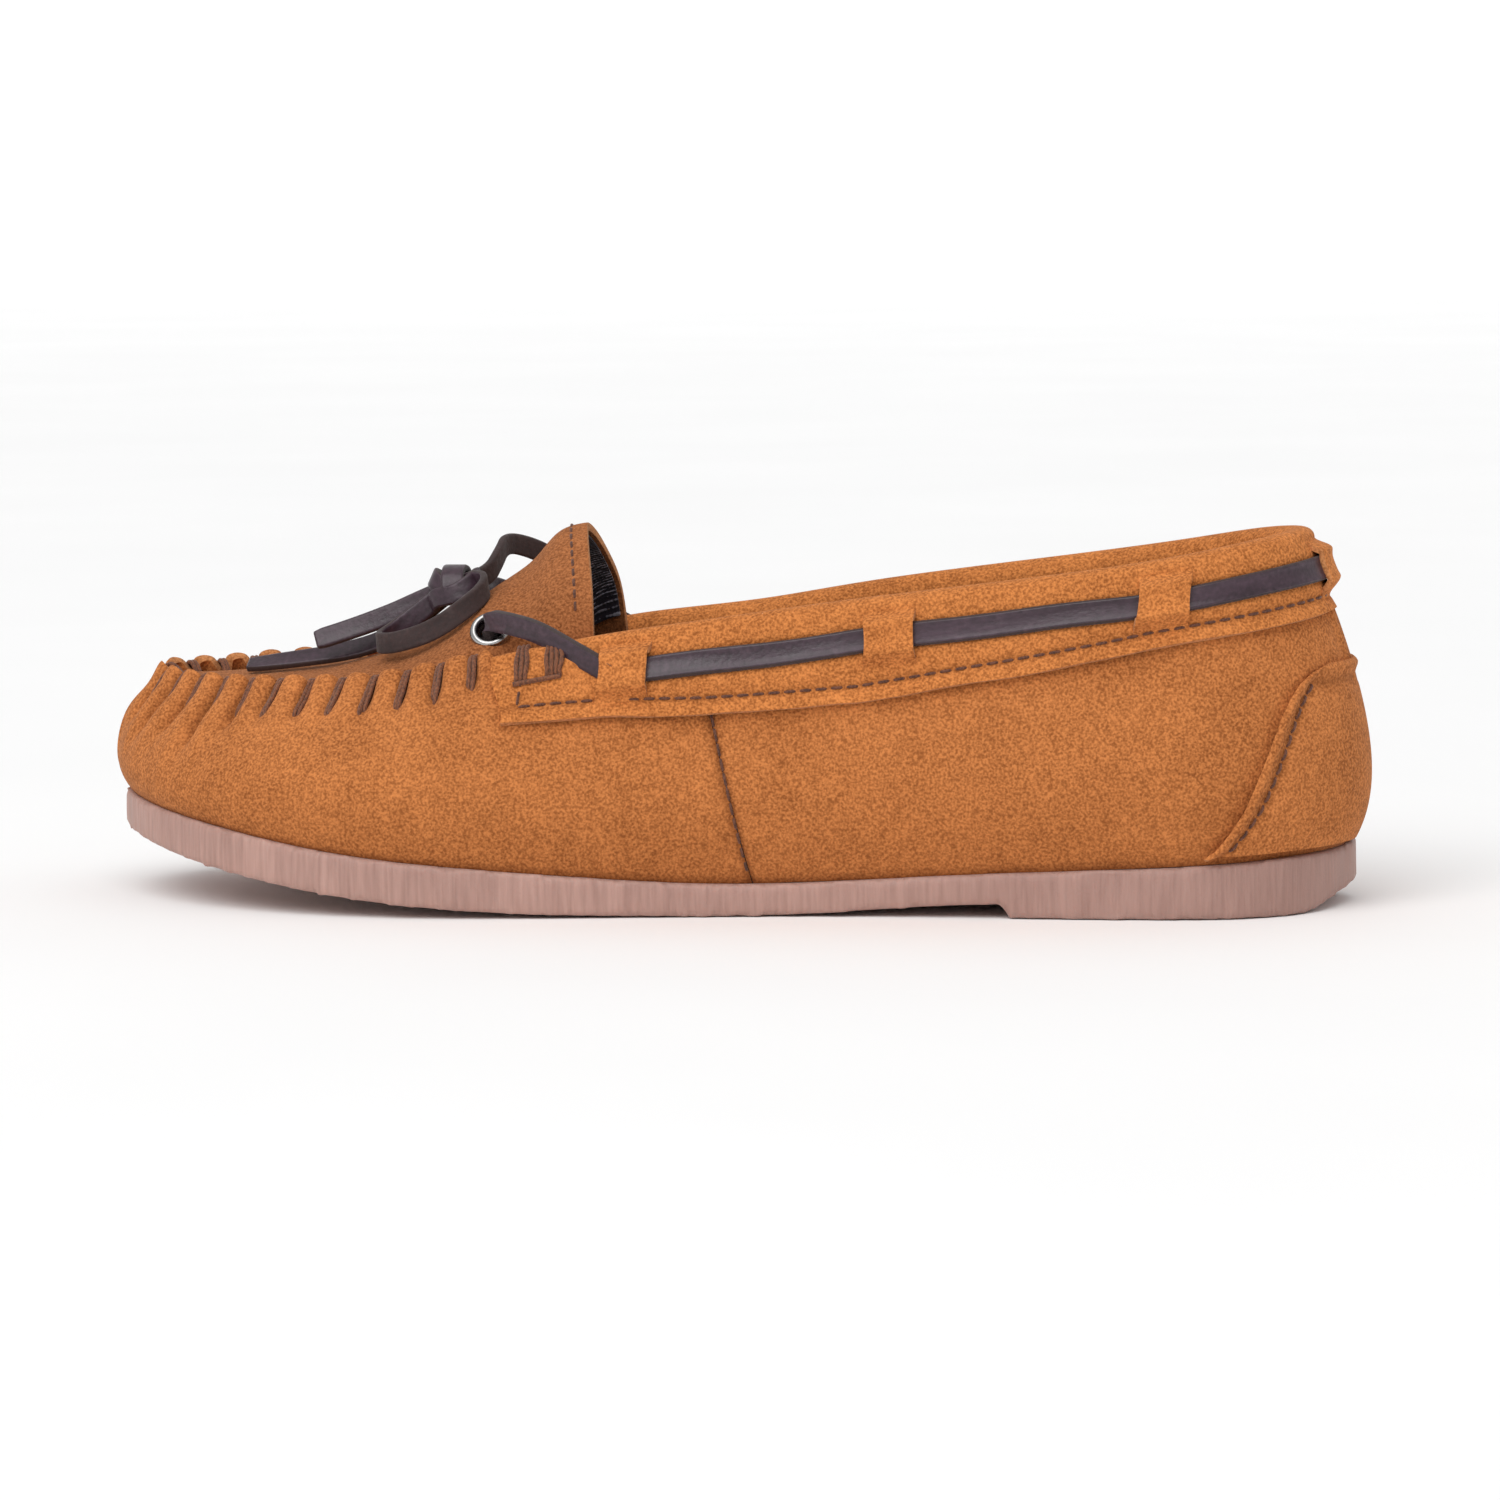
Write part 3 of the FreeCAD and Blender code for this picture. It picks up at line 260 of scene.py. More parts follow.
@dataclass
class Last:
    """The foot-shaped form that the upper is laid on, in metres."""

    sole_length: float = 0.2505
    ball_width: float = 0.084
    waist_width: float = 0.058
    heel_width: float = 0.061
    toe_seat: float = 0.0205
    waist_seat: float = 0.0063
    heel_seat: float = 0.012
    toe_rim: float = 0.044
    throat_rim: float = 0.0545
    waist_rim: float = 0.0618
    heel_rim: float = 0.074
    tongue_peak: float = 0.075
    leather: float = 0.0016
    lining: float = 0.0007
    gap: float = 0.00015
    collar_leather: float = 0.0014
    collar_fall: float = 0.017
    collar_turn_in: float = 0.011
    collar_front: float = 5.73
    roll_drop: float = 0.003
    rounds: float = 20.0
    curves: list[ClosedCurve] = field(default_factory=list)

    def __post_init__(self) -> None:
        """Raise the wall's four lines over the sole."""
        seat = profile([(share * self.sole_length, part * getattr(self, name))
                        for share, name, part in SEAT_LINE])
        feet = np.array([[row[1] * self.sole_length, row[2] * getattr(self, row[0]), 0.0]
                         for row in STATIONS])
        rims = np.array([[row[3] * self.sole_length, row[4] * getattr(self, row[0]),
                          row[6] * getattr(self, row[5])] for row in STATIONS])
        outline = ClosedCurve(feet)
        marks = np.arange(len(STATIONS), dtype=float)
        run = outline.at(marks + 0.001) - outline.at(marks - 0.001)
        out = unit(np.stack([-run[:, 1], run[:, 0], np.zeros(len(run))], axis=1))
        feet[:, 2] = seat(feet[:, 0])
        bulge = np.array([row[7] for row in STATIONS])
        rise = (rims[:, 2] - feet[:, 2])[:, None]
        up = np.array([[0.0, 0.0, 1.0]])
        lows = feet + out * bulge[:, 0:1] + up * bulge[:, 1:2] * rise
        highs = rims + out * bulge[:, 2:3] - up * bulge[:, 3:4] * rise
        self.curves = [ClosedCurve(line) for line in (feet, lows, highs, rims)]

    def point(self, station: np.ndarray, share: np.ndarray) -> np.ndarray:
        """Points on the outside of the wall.

        Args:
            station: Places round the shoe.
            share: 0 at the sole and 1 at the rim.

        Returns:
            Rows of three numbers.
        """
        foot, low, high, rim = (curve.at(station) for curve in self.curves)
        share = np.asarray(share, float)[:, None]
        rest = 1.0 - share
        return (foot * rest ** 3 + low * 3 * rest ** 2 * share + high * 3 * rest * share ** 2
                + rim * share ** 3)

    def facing(self, station: np.ndarray, share: np.ndarray) -> np.ndarray:
        """Outward directions of the wall.

        Args:
            station: Places round the shoe.
            share: 0 at the sole and 1 at the rim.

        Returns:
            Rows of three numbers of length one.
        """
        step = 0.01
        share = np.minimum(share, 1.0 - step)
        along = self.point(station + step, share) - self.point(station - step, share)
        up = self.point(station, share + step) - self.point(station, np.maximum(share - step, 0))
        return unit(np.cross(up, along))

    def wall(self, station: np.ndarray, share: np.ndarray, out: np.ndarray) -> np.ndarray:
        """Points at a distance out from the wall."""
        out = np.asarray(out, float).reshape(-1, 1)
        return self.point(station, share) + self.facing(station, share) * out

    def share_at(self, station: np.ndarray, drop: np.ndarray) -> np.ndarray:
        """Where on the wall the height is drop below the rim.

        Args:
            station: Places round the shoe.
            drop: Depths below the rim, in metres.

        Returns:
            Shares of the wall.
        """
        heights = [curve.at(station)[:, 2] for curve in self.curves]
        target = heights[3] - drop
        low = np.zeros_like(target)
        high = np.ones_like(target)
        for _ in range(22):
            share = (low + high) / 2.0
            rest = 1.0 - share
            here = (heights[0] * rest ** 3 + heights[1] * 3 * rest ** 2 * share
                    + heights[2] * 3 * rest * share ** 2 + heights[3] * share ** 3)
            low = np.where(here < target, share, low)
            high = np.where(here < target, high, share)
        return (low + high) / 2.0

    def turn(self, station: np.ndarray) -> np.ndarray:
        """Stations counted from the heel on either side."""
        turned = np.mod(station, self.rounds)
        return np.minimum(turned, self.rounds - turned)

    def collar_drop(self, station: np.ndarray) -> np.ndarray:
        """Depth of the collar's lower edge below the rim."""
        places, shares = np.array(COLLAR_LINE).T
        return np.interp(self.turn(station), places, shares) * self.collar_fall

    def panel_top(self, station: np.ndarray) -> np.ndarray:
        """Upper end of the side panels, under the collar or at the rim."""
        covered = self.share_at(station, self.roll_drop + 0.001)
        bare = ease(self.collar_front - 0.05, self.collar_front + 0.3, self.turn(station))
        return covered + (1.0 - covered) * bare

    def rim_run(self, first: float, final: float) -> tuple[np.ndarray, np.ndarray]:
        """Lengths along the rim.

        Args:
            first: Station where the length starts.
            final: Station where it ends.

        Returns:
            Stations and the length reached at each, in metres.
        """
        marks = np.linspace(first, final, 600)
        return marks, run_of(self.curves[3].at(marks))


# ---------------------------------------------------------------- finishes

class Graph:
    """A material's nodes, added and joined by name."""

    def __init__(self, name: str) -> None:
        """Start an empty material.

        Args:
            name: The material's name.
        """
        self.material = bpy.data.materials.new(name)
        self.material.use_nodes = True
        self.tree = self.material.node_tree
        self.shader = self.tree.nodes["Principled BSDF"]
        self.coords = self.add("ShaderNodeTexCoord")

    def add(self, kind: str, **values: object) -> bpy.types.Node:
        """Add a node and set its named fields.

        Args:
            kind: Blender's name of the node type.
            **values: Fields of the node.

        Returns:
            The node.
        """
        node = self.tree.nodes.new(kind)
        for name, value in values.items():
            setattr(node, name, value)
        return node

    def feed(self, target: bpy.types.Node, socket: str | int, source: object) -> None:
        """Join an output to a socket, or set the socket's own value.

        Args:
            target: The node that takes it.
            socket: The socket's name or number.
            source: An output socket or a plain value.
        """
        if isinstance(source, bpy.types.NodeSocket):
            self.tree.links.new(source, target.inputs[socket])
        else:
            target.inputs[socket].default_value = source

    def noise(self, scale: float, detail: float = 2.0, stretch: tuple[float, ...] = (1, 1, 1),
              use_uv: bool = False) -> bpy.types.NodeSocket:
        """Noise over the piece.

        Args:
            scale: Noise cells in a metre.
            detail: Octaves.
            stretch: Scale of each axis.
            use_uv: Follow the piece's own UV map.

        Returns:
            The noise's value.
        """
        mapping = self.add("ShaderNodeMapping")
        self.feed(mapping, "Scale", stretch)
        self.feed(mapping, "Vector", self.coords.outputs["UV" if use_uv else "Object"])
        texture = self.add("ShaderNodeTexNoise")
        self.feed(texture, "Vector", mapping.outputs["Vector"])
        self.feed(texture, "Scale", scale)
        self.feed(texture, "Detail", detail)
        return texture.outputs["Fac"]

    def math(self, operation: str, first: object, second: object = 0.0) -> bpy.types.NodeSocket:
        """One sum.

        Args:
            operation: Blender's name of the operation.
            first: An output or a number.
            second: An output or a number.

        Returns:
            The result.
        """
        node = self.add("ShaderNodeMath", operation=operation)
        self.feed(node, 0, first)
        self.feed(node, 1, second)
        return node.outputs[0]

    def ramp(self, value: object, low: float, high: float, first: float = 0.0,
             last: float = 1.0) -> bpy.types.NodeSocket:
        """Stretch a range of values over another.

        Args:
            value: The output to stretch.
            low: Where the range starts.
            high: Where it ends.
            first: Result at low.
            last: Result at high.

        Returns:
            The stretched value.
        """
        node = self.add("ShaderNodeMapRange")
        for socket, item in zip(range(5), (value, low, high, first, last)):
            self.feed(node, socket, item)
        return node.outputs[0]

    def blend(self, share: object, first: object, second: object) -> bpy.types.NodeSocket:
        """Blend two colours.

        Args:
            share: How much of the second.
            first: A colour or an output.
            second: A colour or an output.

        Returns:
            The blended colour.
        """
        node = self.add("ShaderNodeMix", data_type="RGBA")
        self.feed(node, 0, share)
        self.feed(node, 6, first)
        self.feed(node, 7, second)
        return node.outputs[2]

    def weigh(self, *parts: tuple[object, float]) -> bpy.types.NodeSocket:
        """Weighted sum of outputs.

        Args:
            *parts: Pairs of an output and its weight.

        Returns:
            The sum.
        """
        total = self.math("MULTIPLY", *parts[0])
        for part in parts[1:]:
            total = self.math("ADD", total, self.math("MULTIPLY", *part))
        return total

    def dress(self, sources: dict[str, object]) -> bpy.types.Material:
        """Feed the shader.

        Args:
            sources: Outputs or plain values by the shader's socket names.

        Returns:
            The material.
        """
        for socket, source in sources.items():
            self.feed(self.shader, socket, source)
        return self.material

    def shade(self) -> bpy.types.NodeSocket:
        """The piece's painted shade attribute, 0 on open leather and 1 in a fold."""
        return self.add("ShaderNodeAttribute", attribute_name="shade").outputs["Fac"]

    def bump(self, height: object, distance: float, strength: float = 1.0,
             under: object = None) -> bpy.types.NodeSocket:
        """Surface relief.

        Args:
            height: The relief's value.
            distance: Its depth in metres.
            strength: How much of it shows.
            under: Another relief's normal beneath it.

        Returns:
            The normal.
        """
        node = self.add("ShaderNodeBump")
        self.feed(node, "Height", height)
        self.feed(node, "Distance", distance)
        self.feed(node, "Strength", strength)
        if under is not None:
            self.feed(node, "Normal", under)
        return node.outputs["Normal"]


Colour = tuple[float, float, float, float]


def paint(red: int, green: int, blue: int) -> Colour:
    """Linear colour of a screen colour.

    Args:
        red: From 0 to 255.
        green: From 0 to 255.
        blue: From 0 to 255.

    Returns:
        Linear red, green, blue and alpha.
    """
    parts = [value / 255.0 for value in (red, green, blue)]
    linear = [((part + 0.055) / 1.055) ** 2.4 if part > 0.04045 else part / 12.92
              for part in parts]
    return (linear[0], linear[1], linear[2], 1.0)


def tint(colour: Colour, red: float, green: float, blue: float) -> Colour:
    """Scale a colour's parts, at most to full.

    Args:
        colour: The colour to start from.
        red: Factor of its red.
        green: Factor of its green.
        blue: Factor of its blue.

    Returns:
        The scaled colour.
    """
    return (min(colour[0] * red, 1.0), min(colour[1] * green, 1.0), min(colour[2] * blue, 1.0),
            1.0)


@dataclass(frozen=True)
class Suede:
    """Napped leather: mottled, dull, with a soft fuzz."""

    name: str
    colour: Colour
    dark: float = 0.48
    fuzz: float = 0.10

    def make(self) -> bpy.types.Material:
        """Build the finish."""
        graph = Graph(self.name)
        colour = self.colour
        nap = graph.ramp(graph.noise(1900.0, 4.0), 0.36, 0.64)
        brushed = graph.ramp(graph.noise(300.0, 4.0), 0.32, 0.68)
        patch = graph.ramp(graph.noise(55.0, 3.0), 0.32, 0.68)
        mottled = graph.blend(graph.weigh((nap, 0.68), (brushed, 0.14), (patch, 0.18)),
                              tint(colour, self.dark, self.dark * 0.88, self.dark * 0.80),
                              tint(colour, 1.42, 1.50, 1.62))
        # painted shade: the piece's shade attribute darkens the suede toward a deep brown in folds,
        # along seams and toward the sole
        painted_fold_shade = graph.math("MULTIPLY", graph.shade(), 0.88)
        coarse = graph.bump(graph.noise(420.0, 2.0), 0.00035, 0.55)
        return graph.dress({
            "Base Color": graph.blend(painted_fold_shade, mottled, tint(colour, 0.22, 0.16, 0.13)),
            "Roughness": 0.95,
            "Specular IOR Level": 0.12,
            "Sheen Weight": self.fuzz,
            "Sheen Roughness": 0.45,
            "Sheen Tint": (1.0, 0.72, 0.48, 1.0),
            "Normal": graph.bump(graph.noise(1900.0, 3.0), 0.00030, 0.80, coarse),
        })


@dataclass(frozen=True)
class Strap:
    """Waxed lace leather: a smooth grain side and a rough flesh side."""

    name: str
    colour: Colour
    gloss: float = 0.42
    rough_side: bool = False

    def make(self) -> bpy.types.Material:
        """Build the finish."""
        graph = Graph(self.name)
        grain = graph.noise(900.0, 3.0, (1, 1, 1), True)
        streak = graph.noise(160.0, 3.0, (0.25, 1.6, 1), True)
        share = graph.ramp(graph.weigh((grain, 0.5), (streak, 0.5)), 0.35, 0.65)
        base = graph.blend(share, tint(self.colour, 0.55, 0.52, 0.52),
                           tint(self.colour, 1.35, 1.35, 1.35))
        worn = graph.ramp(graph.noise(330.0, 4.0), 0.60, 0.72)
        red, green, blue, alpha = tint(self.colour, 2.3, 2.2, 2.1)
        base = graph.blend(graph.math("MULTIPLY", worn, 0.35), base,
                           (red + 0.02, green + 0.02, blue + 0.02, alpha))
        depth = 0.00030 if self.rough_side else 0.00014
        broad = graph.bump(streak, depth, 0.6)
        sources = {"Base Color": base, "Specular IOR Level": 0.5,
                   "Normal": graph.bump(grain, depth, 0.7, broad)}
        if self.rough_side:
            sources["Roughness"] = graph.ramp(grain, 0.3, 0.7, 0.72, 0.92)
            sources["Sheen Weight"] = 0.12
        else:
            sources["Roughness"] = graph.ramp(streak, 0.3, 0.7, self.gloss - 0.08,
                                              self.gloss + 0.12)
        return graph.dress(sources)


@dataclass(frozen=True)
class Crepe:
    """Milky crepe rubber with upright creases on its sides."""

    name: str
    colour: Colour

    def make(self) -> bpy.types.Material:
        """Build the finish."""
        graph = Graph(self.name)
        crease = graph.noise(1150.0, 4.0, (1.0, 1.0, 0.07))
        cloud = graph.noise(70.0, 3.0, (1.0, 1.0, 0.5))
        share = graph.ramp(graph.weigh((crease, 0.6), (cloud, 0.4)), 0.34, 0.66)
        base = graph.blend(share, tint(self.colour, 0.80, 0.77, 0.77),
                           tint(self.colour, 1.16, 1.18, 1.20))
        heel = graph.math("MULTIPLY", graph.ramp(self.along(graph), -0.02, 0.11), 0.30)
        upright = graph.bump(crease, 0.00035, 0.7)
        return graph.dress({
            "Base Color": graph.blend(heel, base, tint(self.colour, 0.55, 0.50, 0.50)),
            "Roughness": graph.ramp(crease, 0.3, 0.7, 0.48, 0.66),
            "Subsurface Weight": 0.22,
            "Subsurface Scale": 0.004,
            "Subsurface Radius": (1.0, 0.55, 0.45),
            "Normal": graph.bump(graph.noise(1100.0, 2.0), 0.0002, 0.5, upright),
        })

    @staticmethod
    def along(graph: Graph) -> bpy.types.NodeSocket:
        """Place along the shoe, in metres."""
        split = graph.add("ShaderNodeSeparateXYZ")
        graph.feed(split, 0, graph.coords.outputs["Object"])
        return split.outputs[0]


@dataclass(frozen=True)
class Nickel:
    """Bright plated metal with faint rubbing."""

    name: str
    colour: Colour = (0.46, 0.45, 0.44, 1.0)

    def make(self) -> bpy.types.Material:
        """Build the finish."""
        graph = Graph(self.name)
        smear = graph.noise(700.0, 3.0)
        dull = graph.ramp(smear, 0.45, 0.75)
        return graph.dress({
            "Base Color": graph.blend(dull, self.colour, tint(self.colour, 0.75, 0.75, 0.75)),
            "Metallic": 1.0,
            "Roughness": graph.ramp(smear, 0.3, 0.7, 0.16, 0.30),
            "Normal": graph.bump(graph.noise(2600.0, 2.0), 0.00003, 0.4),
        })


@dataclass(frozen=True)
class Thread:
    """Waxed thread with its ply and stray fibres."""

    name: str
    colour: Colour

    def make(self) -> bpy.types.Material:
        """Build the finish."""
        graph = Graph(self.name)
        ply = graph.noise(2600.0, 2.0, (1.0, 1.0, 0.5))
        return graph.dress({
            "Base Color": graph.blend(graph.ramp(ply, 0.35, 0.65),
                                      tint(self.colour, 0.50, 0.46, 0.44),
                                      tint(self.colour, 1.35, 1.35, 1.35)),
            "Roughness": 0.70,
            "Sheen Weight": 0.20,
            "Normal": graph.bump(ply, 0.00018, 0.8),
        })


@dataclass(frozen=True)
class Woven:
    """Dark lining cloth with fine pale stripes that run along the shoe."""

    name: str
    colour: Colour
    stripe: Colour
    use_uv: bool = True
    pitch: float = 0.00080

    def make(self) -> bpy.types.Material:
        """Build the finish."""
        graph = Graph(self.name)
        split = graph.add("ShaderNodeSeparateXYZ")
        graph.feed(split, 0, graph.coords.outputs["UV" if self.use_uv else "Object"])
        along, across = (0, 1) if self.use_uv else (0, 2)
        warp = graph.math("MULTIPLY", split.outputs[across], 2.0 * math.pi / self.pitch)
        weft = graph.math("MULTIPLY", split.outputs[along], 2.0 * math.pi / 0.0009)
        bend = graph.ramp(graph.noise(140.0, 2.0), 0.3, 0.7, -1.4, 1.4)
        line = graph.math("SINE", graph.math("ADD", warp, bend))
        pick = graph.math("SINE", weft)
        broken = graph.weigh((line, 1.0), (pick, 0.15))
        rough = graph.noise(800.0, 3.0, (0.5, 1.0, 1.0), self.use_uv)
        broken = graph.math("ADD", broken, graph.ramp(rough, 0.3, 0.7, -0.9, 0.7))
        band = graph.noise(95.0, 2.0, (0.4, 1.0, 1.0), self.use_uv)
        shown = graph.math("MULTIPLY", graph.ramp(broken, 0.45, 1.0),
                           graph.ramp(band, 0.40, 0.60, 0.10, 1.0))
        return graph.dress({
            "Base Color": graph.blend(shown, self.colour, self.stripe),
            "Roughness": 0.92,
            "Sheen Weight": 0.15,
            "Normal": graph.bump(broken, 0.00015, 0.7),
        })


@dataclass(frozen=True)
class Board:
    """Pressed board or foam that the shoe hides."""

    name: str
    colour: Colour

    def make(self) -> bpy.types.Material:
        """Build the finish."""
        graph = Graph(self.name)
        fibre = graph.noise(800.0, 4.0)
        return graph.dress({
            "Base Color": graph.blend(fibre, tint(self.colour, 0.7, 0.7, 0.7), self.colour),
            "Roughness": 0.9,
            "Normal": graph.bump(fibre, 0.0002, 0.6),
        })


class Finishes:
    """Every finish of the shoe, made once."""

    def __init__(self) -> None:
        """Make the materials."""
        self.wall = Suede("suede_wall", paint(187, 114, 61)).make()
        # painted shade: the apron's suede is the wall's suede painted darker, for the shade that
        # the bow casts over the apron
        self.apron = Suede("suede_apron_painted_shade", paint(162, 99, 57)).make()
        self.collar = Suede("suede_collar", paint(198, 121, 63)).make()
        self.cut_edge = Suede("suede_cut_edge", paint(188, 124, 76), 0.60, 0.20).make()
        self.grain = Strap("lace_grain_side", paint(62, 44, 54), 0.36).make()
        self.flesh = Strap("lace_flesh_side", paint(58, 43, 42), 0.40, True).make()
        self.crepe = Crepe("crepe_rubber", paint(176, 139, 127)).make()
        self.nickel = Nickel("nickel_plate").make()
        self.thread = Thread("brown_thread", paint(96, 54, 34)).make()
        self.heavy_thread = Thread("heavy_brown_thread", paint(118, 68, 38)).make()
        self.tongue_cloth = Woven("tongue_cloth", paint(34, 24, 36), paint(196, 190, 202)).make()
        self.lining_cloth = Woven("lining_cloth", paint(44, 36, 46), paint(150, 144, 156),
                                  False, 0.0009).make()
        self.board = Board("pressed_board", paint(176, 150, 116)).make()
        self.foam = Board("footbed_foam", paint(214, 204, 184)).make()


# ---------------------------------------------------------------- making pieces

def start_alone() -> None:
    """Leave edit mode and select nothing."""
    if bpy.context.mode != "OBJECT":
        bpy.ops.object.mode_set(mode="OBJECT")
    bpy.ops.object.select_all(action="DESELECT")


def pick(piece: bpy.types.Object) -> None:
    """Make one piece the only one selected and active."""
    start_alone()
    piece.select_set(True)
    bpy.context.view_layer.objects.active = piece


def apply_modifier(piece: bpy.types.Object, kind: str, **values: object) -> None:
    """Add a modifier, set it and apply it.

    Args:
        piece: The piece to finish.
        kind: Blender's name of the modifier type.
        **values: The modifier's fields.
    """
    pick(piece)
    bpy.ops.object.modifier_add(type=kind)
    modifier = piece.modifiers[-1]
    for name, value in values.items():
        setattr(modifier, name, value)
    bpy.ops.object.modifier_apply(modifier=modifier.name)


def read_points(mesh: bpy.types.Mesh) -> np.ndarray:
    """Vertex places of a mesh as rows."""
    flat = np.empty(len(mesh.vertices) * 3)
    mesh.vertices.foreach_get("co", flat)
    return flat.reshape(-1, 3)


def write_points(mesh: bpy.types.Mesh, points: np.ndarray) -> None:
    """Move a mesh's vertices to rows of places."""
    mesh.vertices.foreach_set("co", np.ascontiguousarray(points, dtype=float).ravel())
    mesh.update()


def read_normals(mesh: bpy.types.Mesh) -> np.ndarray:
    """Vertex normals of a mesh as rows."""
    flat = np.empty(len(mesh.vertices) * 3)
    mesh.vertex_normals.foreach_get("vector", flat)
    return flat.reshape(-1, 3)


def flip_faces(piece: bpy.types.Object) -> None:
    """Turn every face of a piece round."""
    pick(piece)
    bpy.ops.object.mode_set(mode="EDIT")
    bpy.ops.mesh.select_all(action="SELECT")
    bpy.ops.mesh.flip_normals()
    bpy.ops.object.mode_set(mode="OBJECT")


def smooth_by_angle(piece: bpy.types.Object, degrees: float) -> None:
    """Shade a piece smooth but for its sharp edges."""
    pick(piece)
    bpy.ops.object.shade_smooth_by_angle(angle=math.radians(degrees))


def set_shade(mesh: bpy.types.Mesh, values: np.ndarray) -> None:
    """Store the painted shade of each vertex, which darkens its colour where it lies deep in a
    fold.
    """
    shade = mesh.attributes.new("shade", "FLOAT", "POINT")
    shade.data.foreach_set("value", np.ascontiguousarray(values, dtype=np.float32))


@dataclass(frozen=True)
class Cut:
    """How a sheet is cut: its grid, thickness, flat size and finishes."""

    columns: int
    rows: int
    thick: float
    length: float
    width: float
    face: bpy.types.Material
    back: bpy.types.Material
    edge: bpy.types.Material
    rounding: float = 0.00035


def lay_sheet(name: str, cut: Cut, place: Callable[..., np.ndarray],
              shade: Place | None = None) -> bpy.types.Object:
    """Lay a grid over a surface and give it its thickness.

    Args:
        name: The piece's name.
        cut: Grid, thickness and finishes.
        place: Gives points for (along, across, out), the first two from 0 to 1.
        shade: Gives the painted shade at (along, across), deepest in a fold.

    Returns:
        The closed sheet; place's points at out 0 are its outer face.
    """
    start_alone()
    bpy.ops.mesh.primitive_grid_add(x_subdivisions=cut.columns, y_subdivisions=cut.rows,
                                    size=1.0, calc_uvs=True)
    piece = bpy.context.active_object
    piece.name = name
    mesh = piece.data
    mesh.name = name
    flat = read_points(mesh)
    along = np.clip(flat[:, 0] + 0.5, 0.0, 1.0)
    across = np.clip(flat[:, 1] + 0.5, 0.0, 1.0)
    face = place(along, across, 0.0)
    above = place(along, across, 0.2 * MM)
    write_points(mesh, face)
    set_shade(mesh, shade(along, across) if shade else np.zeros(len(flat)))
    for corner in mesh.uv_layers.active.data:
        corner.uv = (corner.uv[0] * cut.length, corner.uv[1] * cut.width)
    for finish in (cut.face, cut.back, cut.edge):
        mesh.materials.append(finish)
    if np.sum(read_normals(mesh) * (above - face)) < 0.0:
        flip_faces(piece)
    apply_modifier(piece, "SOLIDIFY", thickness=cut.thick, offset=-1.0, material_offset=1,
                   material_offset_rim=2)
    if cut.rounding > 0.0:
        apply_modifier(piece, "BEVEL", width=cut.rounding, segments=2, limit_method="ANGLE",
                       angle_limit=math.radians(50), use_clamp_overlap=True)
    smooth_by_angle(piece, 60)
    return piece


def hand_over(piece: bpy.types.Object, slot: str, *nodes: str) -> bpy.types.Object:
    """Put a finished piece in place of CAD nodes.

    Args:
        piece: The finished piece.
        slot: The record's material slot; not used.
        *nodes: The nodes that it stands for.

    Returns:
        The piece.
    """
    if nodes:
        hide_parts(*nodes)
    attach(piece, BODY)
    log.info("%s: %d faces", piece.name, len(piece.data.polygons))
    return piece


def dress_node(node: str, finish: bpy.types.Material) -> None:
    """Give a CAD node that stays a finish of its own."""
    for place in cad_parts[node].material_slots:
        place.link = "OBJECT"
        place.material = finish


def join_pieces(name: str, parts: list[bpy.types.Object]) -> bpy.types.Object:
    """Join meshes into one piece.

    Args:
        name: The joined piece's name.
        parts: The meshes.

    Returns:
        The joined piece.
    """
    start_alone()
    for part in parts:
        part.select_set(True)
    bpy.context.view_layer.objects.active = parts[0]
    if len(parts) > 1:
        bpy.ops.object.join()
    parts[0].name = name
    parts[0].data.name = name
    return parts[0]


def new_spline(name: str, paths: list[np.ndarray]) -> bpy.types.Object:
    """Put smooth lines through control points.

    Args:
        name: Name of the curve.
        paths: Control points of each line.

    Returns:
        The curve's object.
    """
    curve = bpy.data.curves.new(name, "CURVE")
    curve.dimensions = "3D"
    for path in paths:
        spline = curve.splines.new("NURBS")
        spline.points.add(len(path) - 1)
        for spot, point in zip(path, spline.points):
            point.co = (*spot, 1.0)
        spline.order_u = 3
        spline.use_endpoint_u = True
    holder = bpy.data.objects.new(name, curve)
    bpy.context.collection.objects.link(holder)
    return holder


def draw_threads(name: str, paths: list[np.ndarray], radius: float,
                 finish: bpy.types.Material) -> bpy.types.Object:
    """Round threads along smooth paths.

    Args:
        name: The piece's name.
        paths: Control points of each thread.
        radius: The threads' radius.
        finish: Their material.

    Returns:
        The threads as one mesh.
    """
    start_alone()
    piece = new_spline(name, paths)
    curve = piece.data
    curve.bevel_depth = radius
    curve.bevel_resolution = 2
    curve.resolution_u = 4
    curve.use_fill_caps = True
    pick(piece)
    bpy.ops.object.convert(target="MESH")
    piece = bpy.context.active_object
    piece.name = name
    piece.data.name = name
    piece.data.materials.clear()
    piece.data.materials.append(finish)
    smooth_by_angle(piece, 50)
    return piece


def read_spline(name: str, route: list[tuple[float, float, float]],
                centre: np.ndarray) -> np.ndarray:
    """Points along the smooth line of a cord's route.

    Args:
        name: The cord's name.
        route: Control points from the knot's centre, in millimetres.
        centre: The knot's centre.

    Returns:
        Points read along the spline.
    """
    holder = new_spline(name + "_line", [centre + np.array(route) * MM])
    curve = holder.data
    curve.resolution_u = 24
    bpy.context.view_layer.update()
    mesh = bpy.data.meshes.new_from_object(holder)
    points = read_points(mesh)
    bpy.data.objects.remove(holder)
    bpy.data.curves.remove(curve)
    bpy.data.meshes.remove(mesh)
    return points


